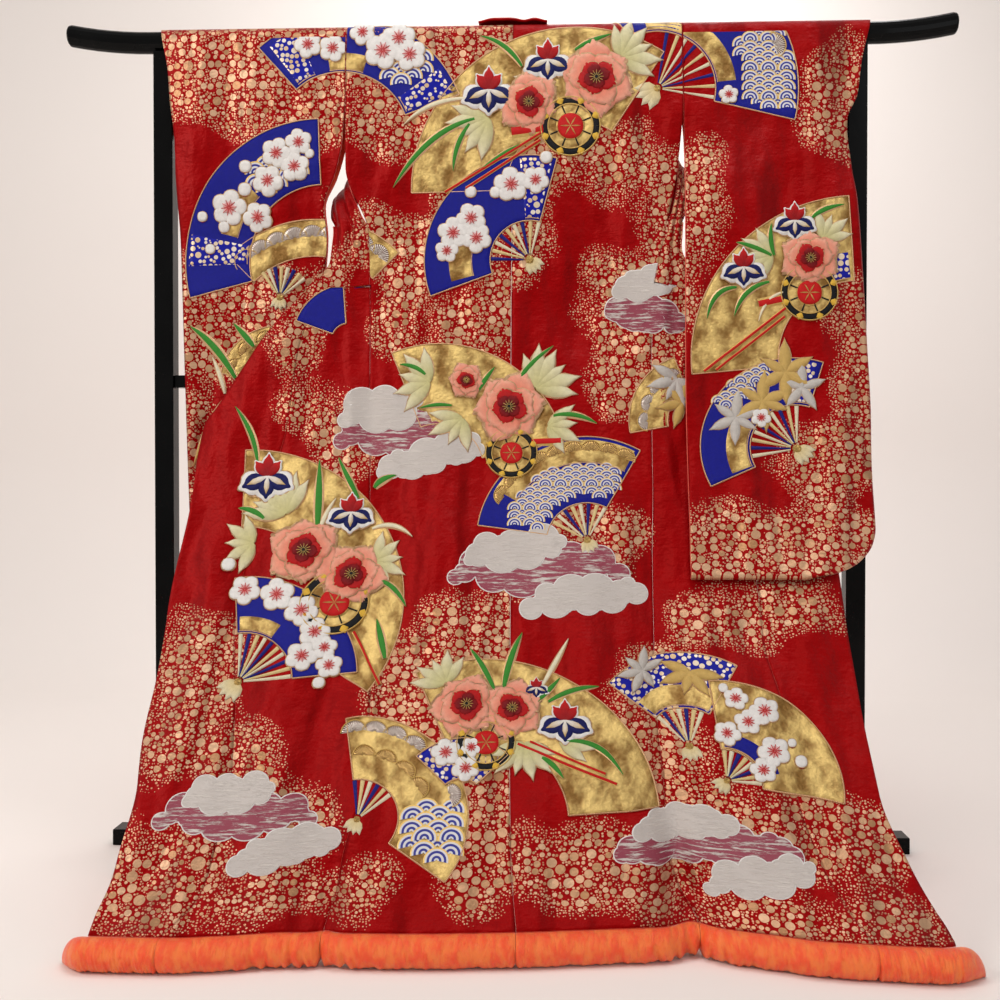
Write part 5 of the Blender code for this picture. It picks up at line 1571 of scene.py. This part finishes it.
def lay_fans():
    """The fans' papers with their cord edges, and what is set into them."""
    for cloths, x, b, inner, outer, start, end, ground, level in FANS:
        lift = LIFT + level * LEVEL
        for cloth in cloths.split():
            ring_part(cloth, x, b, inner, outer, start, end, lift, *GROUNDS[ground])
            couched_edge(cloth, x, b, inner, outer, start, end, lift)
    for cloths, x, b, inner, outer, start, end, ground, level in INSETS:
        lift = LIFT + level * LEVEL + LAYER
        half, crown = INSET_CORD
        for cloth in cloths.split():
            ring_part(cloth, x, b, inner, outer, start, end, lift, *GROUNDS[ground])
            ribbon(cloth, *arc_line(x, b, inner, start, end), half, lift, crown, "cord", COUCHED)
    for cloths, x, b, inner, outer, start, end, scale, level in WAVE_PARTS:
        for cloth in cloths.split():
            waves(cloth, x, b, inner, outer, start, end, scale, LIFT + level * LEVEL + LAYER)
    for cloths, x, b, row, start, end, count, size, metal, level in PINE_ROWS:
        for way in fanned(start, end, count):
            for cloth in cloths.split():
                pine(cloth, *polar(x, b, row, way), size, way, LIFT + level * LEVEL + 2 * LAYER,
                     SILVER if metal == "silver" else GOLD)


def lay_stems():
    """Clouds, ribs, the carts' shafts, grass blades and leaf sprays, in that order."""
    top = LIFT + 2 * LEVEL
    for cloth, x0, b0, x1, b1, radius, count, tone in CLOUDS:
        lift = LIFT + (0.5 if tone == "silver" else 0) * LEVEL
        cloud_band(cloth, x0, b0, x1, b1, radius, count, lift, *GROUNDS[tone])
    for cloth, x, b, inner, outer, start, end, count, level in RIBS:
        ribs(cloth, x, b, inner, outer, start, end, count, LIFT + level * LEVEL)
    for cloth, x0, b0, x1, b1, half in SHAFTS:
        x, b = np.linspace(x0, x1, 30), np.linspace(b0, b1, 30)
        ribbon(cloth, x, b, half * SHAFT_EDGE, top, 0.0003, "cord", GOLD)
        ribbon(cloth, x, b, half, top + LAYER, 0.0012, "satin", SCARLET)
    for cloth, foot, bend, tip, half, tone in BLADES:
        x, b = bend_line(foot, bend, tip)
        t = np.linspace(0, 1, len(x))
        width = half * BLADE_FULL * np.sin(math.pi * (0.12 + 0.88 * t)) ** 0.7 + BLADE_LEAST
        ribbon(cloth, x, b, width * BLADE_EDGE, top, 0.0002, "cord", COUCHED)
        ribbon(cloth, x, b, width, top + LAYER, 0.0010, "satin", LEAF_TONES[tone])
    for cloth, x, b, length, start, end, count, tone in SPRAYS:
        foot = YOUNG_LEAF if tone == "pale" else LEAF_TONES[tone]
        for k, way in enumerate(fanned(start, end, count)):
            longer = length * (LEAF_LONGER[0] + LEAF_LONGER[1] * math.sin(LEAF_LONGER[2] * k))
            petal(cloth, x, b, way, longer * LEAF_EDGE[0], longer * LEAF_EDGE[1],
                  LIFT + LEAF_EDGE_LEVEL * LEVEL, 0.0, "cord", COUCHED, COUCHED, fullness=1.2,
                  size=(7, 5))
            petal(cloth, x, b, way, longer, longer * LEAF_HALF, top, 0.0009, "satin", foot,
                  LEAF_TONES[tone], fullness=1.2, size=(9, 5))


def lay_flowers():
    """Wheels, irises, peonies, plum blossoms and buds, each over the ones before."""
    top = LIFT + 2 * LEVEL
    for cloth, x, b, radius in WHEELS:
        wheel(cloth, x, b, radius, top + LAYER)
    for cloth, x, b, radius in IRISES:
        iris(cloth, x, b, radius, top + 2 * LAYER)
    for cloth, x, b, radius in PEONIES:
        peony(cloth, x, b, radius, top + 3 * LAYER, x * PEONY_TURN)
    for cloth, x, b, radius in PLUMS:
        plum(cloth, x, b, radius, top + 2 * LAYER, 90 + x * PLUM_TURN)
    for cloth, x, b, radius in BUDS:
        bud(cloth, x, b, radius, top + LAYER)


def make_pattern(mats):
    """All the motifs laid down, then joined in one piece for each row of PATTERN_PIECES."""
    lay_fans()
    lay_stems()
    lay_flowers()
    for cloth, name, first, last in PATTERN_PIECES:
        patches = [p for p in PATCHES[cloth] if first <= -p[2][:, 1].mean() < last]
        starts = np.cumsum([0] + [len(p[0]) for p in patches])
        verts, uv, local, tint, slots = (np.concatenate([p[k] for p in patches])
                                         for k in (0, 2, 3, 4, 5))
        faces = np.vstack([p[1] + s for p, s in zip(patches, starts)])
        obj = new_mesh(name, verts, faces.tolist(), uv, mats, slots)
        add_uv(obj.data, "motif", local)
        colour = obj.data.attributes.new("tint", "FLOAT_COLOR", "POINT")
        solid = np.concatenate([tint, np.ones((len(tint), 1))], axis=1).astype(np.float32)
        colour.data.foreach_set("color", solid.reshape(-1))


def panel_rows(top):
    """Evenly spaced b from top to hem, closer together round the bar."""
    rows = np.linspace(top, LENGTH, int((LENGTH - top) / PANEL_CELL) + 1)
    if top < WRAP_B:
        wrap = np.linspace(top, WRAP_B, BAR_ROWS)
        rows = np.concatenate([wrap, rows[rows > WRAP_B + PANEL_CELL / 2]])
    clear = rows[np.abs(rows - SIDE_SEAM_TOP) > SEAM_CLEAR]
    return np.unique(np.concatenate([clear, [SIDE_SEAM_TOP]]))


def make_panel(name, u_from, u_to, widest, mats):
    """One cut panel of the spread sheet on its solid's formulas, with the dots' field."""
    own = (u_from + u_to) / 2
    side = -1 if own < 0 else 1
    rows = panel_rows(OKUMI_TOP if abs(own) > 2 else END_GAP)
    us = np.linspace(u_from + SEAM_INSET, u_to - SEAM_INSET, int(widest / PANEL_CELL) + 2)
    b, u = np.meshgrid(rows, us, indexing="ij")
    middle, normal = sheet_point(u, b, own), sheet_normal(u, b, own)
    seam = smooth(BACK_SEAMS, 2 + side, b)
    x = middle[..., 0] if abs(own) < 1 else seam + side * flap_across(side, u, b)[0]
    hidden = (abs(own) > 1) & (b < HIDDEN_FRONT_B)
    field = spray(SPRAY_BODY[side], np.where(hidden, seam * 2 - x, x), b)
    uv = np.stack([x, -b], axis=-1)
    return stands_for(shell("silk_" + name, middle, normal, WALL, uv, mats, field), name)


def make_sleeve(side, word, mats):
    """A flat bag over the bar: open at the armhole edge and cuff, closed below the cuff."""
    rows = np.concatenate([np.linspace(0, WRAP_B, SLEEVE_BAR_ROWS),
                           np.arange(WRAP_B + SLEEVE_FIRST, SLEEVE_BOTTOM, PANEL_CELL),
                           np.linspace(SLEEVE_BOTTOM, SLEEVE[side][-1][0], SLEEVE_BOTTOM_ROWS)])
    cuff = int(np.argmin(np.abs(rows - CUFF_B)))
    crowded = (1 - np.cos(np.linspace(0, math.pi, SLEEVE_COLUMNS))) / 2
    share = crowded * SLEEVE_CROWD + np.linspace(0, 1, SLEEVE_COLUMNS) * (1 - SLEEVE_CROWD)
    b, p = np.meshgrid(rows, share, indexing="ij")
    near, far = sleeve_layers(side, b, p)
    count_r, count_c = b.shape
    inner, outer = sleeve_side(side, b)
    x = inner + p * (outer - inner)
    near_id = np.arange(count_r * count_c).reshape(count_r, count_c)
    far_id = np.vstack([near_id[:1], near_id[1:] - count_c + count_r * count_c])
    verts = [near.reshape(-1, 3), far[1:].reshape(-1, 3)]
    uv = [np.stack([x, -b], axis=-1).reshape(-1, 2),
          np.stack([x + SLEEVE_FAR_U, -b], axis=-1)[1:].reshape(-1, 2)]
    rim_r = np.concatenate([np.arange(cuff, count_r), np.full(count_c - 1, count_r - 1)])
    rim_c = np.concatenate([np.full(count_r - cuff, count_c - 1), np.arange(count_c - 2, -1, -1)])
    middle = (near[rim_r, rim_c] + far[rim_r, rim_c]) / 2
    middle[:, 0] += np.where(rim_c == count_c - 1, side * SLEEVE_FOLD_OUT, 0.0)
    middle[:, 2] -= np.where(rim_r == count_r - 1, SLEEVE_FOLD_OUT, 0.0)
    rim_id = np.arange(len(rim_r)) + sum(len(v) for v in verts)
    verts.append(middle)
    uv.append(np.stack([x[rim_r, rim_c], -b[rim_r, rim_c]], axis=-1))
    faces = []
    for grid, turned in ((near_id, side < 0), (far_id, side > 0)):
        quad = np.stack([grid[:-1, :-1], grid[1:, :-1], grid[1:, 1:], grid[:-1, 1:]], axis=-1)
        quad = quad.reshape(-1, 4)
        faces.append(quad[:, ::-1] if turned else quad)
        edge = grid[rim_r, rim_c]
        quad = np.stack([edge[:-1], edge[1:], rim_id[1:], rim_id[:-1]], axis=-1)
        faces.append(quad[:, ::-1] if turned else quad)
    field = spray(SPRAY_SLEEVE[side], x, b)
    fields = np.concatenate([field.reshape(-1), field[1:].reshape(-1), field[rim_r, rim_c]])
    obj = new_mesh("silk_sleeve_" + word, np.vstack(verts), np.vstack(faces).tolist(),
                   np.vstack(uv), mats, fields={"spray": fields})
    wall = obj.modifiers.new("wall", "SOLIDIFY")
    wall.thickness = WALL
    wall.offset = 0.0
    wall.material_offset = 1
    wall.material_offset_rim = 2
    return stands_for(obj, "sleeve_" + word)


def collar_point(side, s, b):
    """A point on a hanging collar, s across it from the front's free edge."""
    _, _, d, turn = flap_frame(side, b)
    edge = flap_point(side, side * 3.0 + 0 * b, b)
    inward = np.stack([-side * d[..., 1], side * d[..., 0]], axis=-1)
    share = ease((turn - COLLAR_TUCK_FROM) / COLLAR_TUCK_OVER)
    tuck = COLLAR_TUCK * share
    away = ease(share * 2)
    bunched = COLLAR_GAP_TURNING * np.maximum(np.sin(turn), gathering(b))
    gap = (COLLAR_GAP + bunched) * away
    run = d * np.cos(tuck)[..., None] + inward * np.sin(tuck)[..., None]
    start = d * (COLLAR_EDGE_GAP * (1 - away))[..., None] + inward * gap[..., None]
    flat = start + run * s[..., None]
    return edge + np.concatenate([flat, np.zeros(flat.shape[:-1] + (1,))], axis=-1)


def make_collar_strip(side, word, mats):
    """One collar strip that hangs down a front's free edge."""
    b, s = np.meshgrid(np.linspace(COLLAR_START, COLLAR_END, COLLAR_ROWS),
                       np.linspace(0, COLLAR_WIDTH, COLLAR_COLUMNS), indexing="ij")
    middle = collar_point(side, s, b)
    step = COLLAR_STEP
    db = collar_point(side, s, b + step) - collar_point(side, s, b - step)
    ds = collar_point(side, s + step, b) - collar_point(side, s - step, b)
    n = np.cross(ds, db) * side
    n = n / np.linalg.norm(n, axis=-1, keepdims=True)
    uv = np.stack([s, -b], axis=-1)
    if side < 0:
        middle, n, uv = middle[:, ::-1], n[:, ::-1], uv[:, ::-1]
    return shell("silk_collar_" + word, middle, -n, COLLAR_WALL, uv, mats, -1.0)


def make_collar_neck(mats):
    """The standing collar over the bar: a raised strip round it, dipped in three places."""
    t, x = np.meshgrid(np.radians(np.linspace(*NECK_TURN, NECK_ROWS)),
                       np.linspace(*NECK_X, NECK_COLUMNS), indexing="ij")
    across = (x - NECK_X[0]) / (NECK_X[1] - NECK_X[0])
    standing = np.cos((t - NECK_TOP) * NECK_ROUND) ** 2
    radius = WRAP_R + WALL / 2 + COLLAR_WALL / 2 + NECK_CLEAR + NECK_RISE * standing
    dip = sum(depth * np.exp(-(((across - at) / wide) ** 2)) for at, wide, depth in NECK_DIPS)
    radius = radius - NECK_SAG * dip * standing
    middle = np.stack([x, radius * np.sin(t), BAR_Z + radius * np.cos(t)], axis=-1)
    normal = np.stack([0 * x, np.sin(t), np.cos(t)], axis=-1)
    uv = np.stack([x, -t * WRAP_R], axis=-1)
    return shell("silk_collar_neck", middle[:, ::-1], normal[:, ::-1], COLLAR_WALL, uv[:, ::-1],
                 mats, -1.0)


def make_collar(mats):
    """Two hanging collar strips and the standing piece over the bar at the neck."""
    made = [make_collar_strip(-1, "left", mats), make_collar_strip(1, "right", mats),
            make_collar_neck(mats)]
    return [stands_for(obj, solid)
            for obj, solid in zip(made, ("collar_left", "collar_right", "collar_neck"))]


def roll_ripple(u, turn):
    """Fine waves round the roll, higher near the two side seams, where it is drawn in."""
    u, turn = u[:, None], turn[None, :]
    near_seam = np.exp(-((np.abs(u) - 1.0) / GATHERS_SPREAD) ** 2)
    gathers = GATHERS_LEAST + (1 - GATHERS_LEAST) * near_seam
    ripple = -GATHERS_DRAW * gathers
    for height, waves_u, sway, round_it in GATHERED_RIPPLES:
        wave = np.sin(u * waves_u + sway * np.sin(turn * 2) - round_it * turn)
        ripple = ripple + gathers * height * wave
    height, waves_u, round_it = EVEN_RIPPLE
    return ripple + height * np.sin(u * waves_u - round_it * turn)


def make_hem_roll(mat):
    """Six padded lengths along the hem: rings that rest on the floor, pinched at the gathers."""
    tip = np.linspace(0, math.pi / 2, ROLL_TIP_STEPS)
    turn = np.linspace(0, 2 * math.pi, ROLL_ROUND, endpoint=False)
    away = 0.5 - 0.5 * np.cos(turn[None, :] - ROLL_SEAM_TURN)
    for name, first, last, _, _, _ in PANELS:
        u = np.linspace(first + SEAM_INSET, last - SEAM_INSET, ROLL_STEPS)
        if first == -3:
            u = np.concatenate([first - ROLL_TIP_U * np.cos(tip)[:-1], u])
        if last == 3:
            u = np.concatenate([u, last + ROLL_TIP_U * np.sin(tip)[1:]])
        x, y, radius = roll_frame(u)
        crease = np.ones(len(u))
        for at, depth, width in ROLL_PUCKERS:
            crease = crease * (1 - ROLL_PINCH * depth * np.exp(-(((u - at) / width) ** 2)))
        full = radius[:, None] * ROLL_FLAT
        reach = full * (1 - (1 - crease[:, None]) * away + roll_ripple(u, turn) * away)
        z = full - reach * np.cos(turn)[None, :]
        verts = np.stack([x[:, None] + 0 * reach, y[:, None] + reach * np.sin(turn)[None, :],
                          np.maximum(z, 0.0)], axis=-1)
        count = len(u)
        ends = np.array([verts[0].mean(0), verts[-1].mean(0)])
        faces = grid_faces(count, ROLL_ROUND, around=True).tolist()
        for hub, start, turned in ((count * ROLL_ROUND, 0, True),
                                   (count * ROLL_ROUND + 1, (count - 1) * ROLL_ROUND, False)):
            for c in range(ROLL_ROUND):
                tri = (hub, start + c, start + (c + 1) % ROLL_ROUND)
                faces.append(tri[::-1] if turned else tri)
        along = np.concatenate([[0], np.cumsum(np.hypot(np.diff(x), np.diff(y)))])
        uv = np.stack([along[:, None] + 0 * reach, ROLL_R * turn[None, :] + 0 * reach], axis=-1)
        uv = np.vstack([uv.reshape(-1, 2), uv[0].mean(0), uv[-1].mean(0)])
        verts = np.vstack([verts.reshape(-1, 3), ends])
        obj = new_mesh("padded_hem_" + name, verts, faces, uv, [mat])
        stands_for(obj, "hem_roll_" + name)


def make_camera():
    """The photograph's viewpoint: low, close and almost square on."""
    data = bpy.data.cameras.new("camera")
    data.sensor_width = CAMERA_SENSOR
    data.lens = CAMERA_LENS
    data.clip_end = CAMERA_FAR
    camera = bpy.data.objects.new("camera", data)
    camera.location = CAMERA_PLACE
    camera.rotation_euler = CAMERA_TURN
    bpy.context.scene.collection.objects.link(camera)
    bpy.context.scene.camera = camera


def make_light(name, place, aim, size, power, colour):
    """A soft square lamp aimed at a point."""
    data = bpy.data.lights.new(name, "AREA")
    data.size = size
    data.energy = power
    data.color = colour
    lamp = bpy.data.objects.new(name, data)
    lamp.location = place
    toward = np.array(aim, dtype=float) - np.array(place, dtype=float)
    pitch = math.atan2(math.hypot(toward[0], toward[1]), -toward[2])
    lamp.rotation_euler = Euler((pitch, 0.0, math.atan2(-toward[0], toward[1])))
    bpy.context.scene.collection.objects.link(lamp)


def make_studio():
    """A pale floor curving up into a pale wall, soft lamps and a pale sky."""
    mat, tree, paper = shader("backdrop")
    soft = solid_noise(tree, scale=1.1, detail=1.0)
    bright = tuple(v * PAPER_GLOW for v in BACKDROP[:3]) + (1.0,)
    fill(tree, paper, {"Base Color": blend(tree, soft, BACKDROP, bright), "Roughness": 0.9})
    turn = np.linspace(0, math.pi / 2, 16)
    depth = np.concatenate([FLOOR_FRONT, BEND_START + BEND_RADIUS * np.sin(turn),
                            [BEND_START + BEND_RADIUS]])
    height = np.concatenate([[0.0, 0.0], BEND_RADIUS - BEND_RADIUS * np.cos(turn), [WALL_TOP]])
    x = np.array([-FLOOR_SIDE, FLOOR_SIDE])
    verts = np.stack(np.broadcast_arrays(x[None, :], depth[:, None], height[:, None]), axis=-1)
    mesh = bpy.data.meshes.new("floor")
    mesh.from_pydata(verts.reshape(-1, 3).tolist(), [],
                     grid_faces(len(depth), 2, flip=True).tolist())
    mesh.materials.append(mat)
    mesh.shade_smooth()
    floor = bpy.data.objects.new("floor", mesh)
    bpy.context.scene.collection.objects.link(floor)
    for lamp in LAMPS:
        make_light(*lamp)
    world = bpy.data.worlds.new("sky")
    bpy.context.scene.world = world
    world.use_nodes = True
    background = world.node_tree.nodes["Background"]
    background.inputs["Color"].default_value = SKY
    background.inputs["Strength"].default_value = SKY_POWER
    bpy.context.scene.view_settings.view_transform = "Standard"


make_camera()
make_studio()
red_silk = make_red_silk()
lining_silk = make_plain_silk("lining_silk", LINING_DEEP, LINING_BRIGHT)
piping_silk = make_plain_silk("piping_silk", PIPING_DEEP, PIPING_BRIGHT)
roll_silk = make_plain_silk("roll_silk", ROLL_DEEP, ROLL_BRIGHT, rough=0.30, relief=0.0030,
                            across=2.4)
lacquer = make_lacquer()
cloth_mats = [red_silk, lining_silk, piping_silk]
panels = [make_panel(name, first, last, widest, cloth_mats)
          for name, first, last, widest, _, _ in PANELS]
sleeves = [make_sleeve(-1, "left", cloth_mats), make_sleeve(1, "right", cloth_mats)]
collars = make_collar([red_silk, red_silk, red_silk])
make_hem_roll(roll_silk)
make_pattern([make_foil(), make_cloud_thread(), make_satin_thread(), make_dotted_silk(),
              make_pine_thread(), make_wave_thread(), make_couched_cord()])
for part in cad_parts.values():
    if part.name.startswith("stand_"):
        for mat_slot in part.material_slots:
            mat_slot.material = lacquer
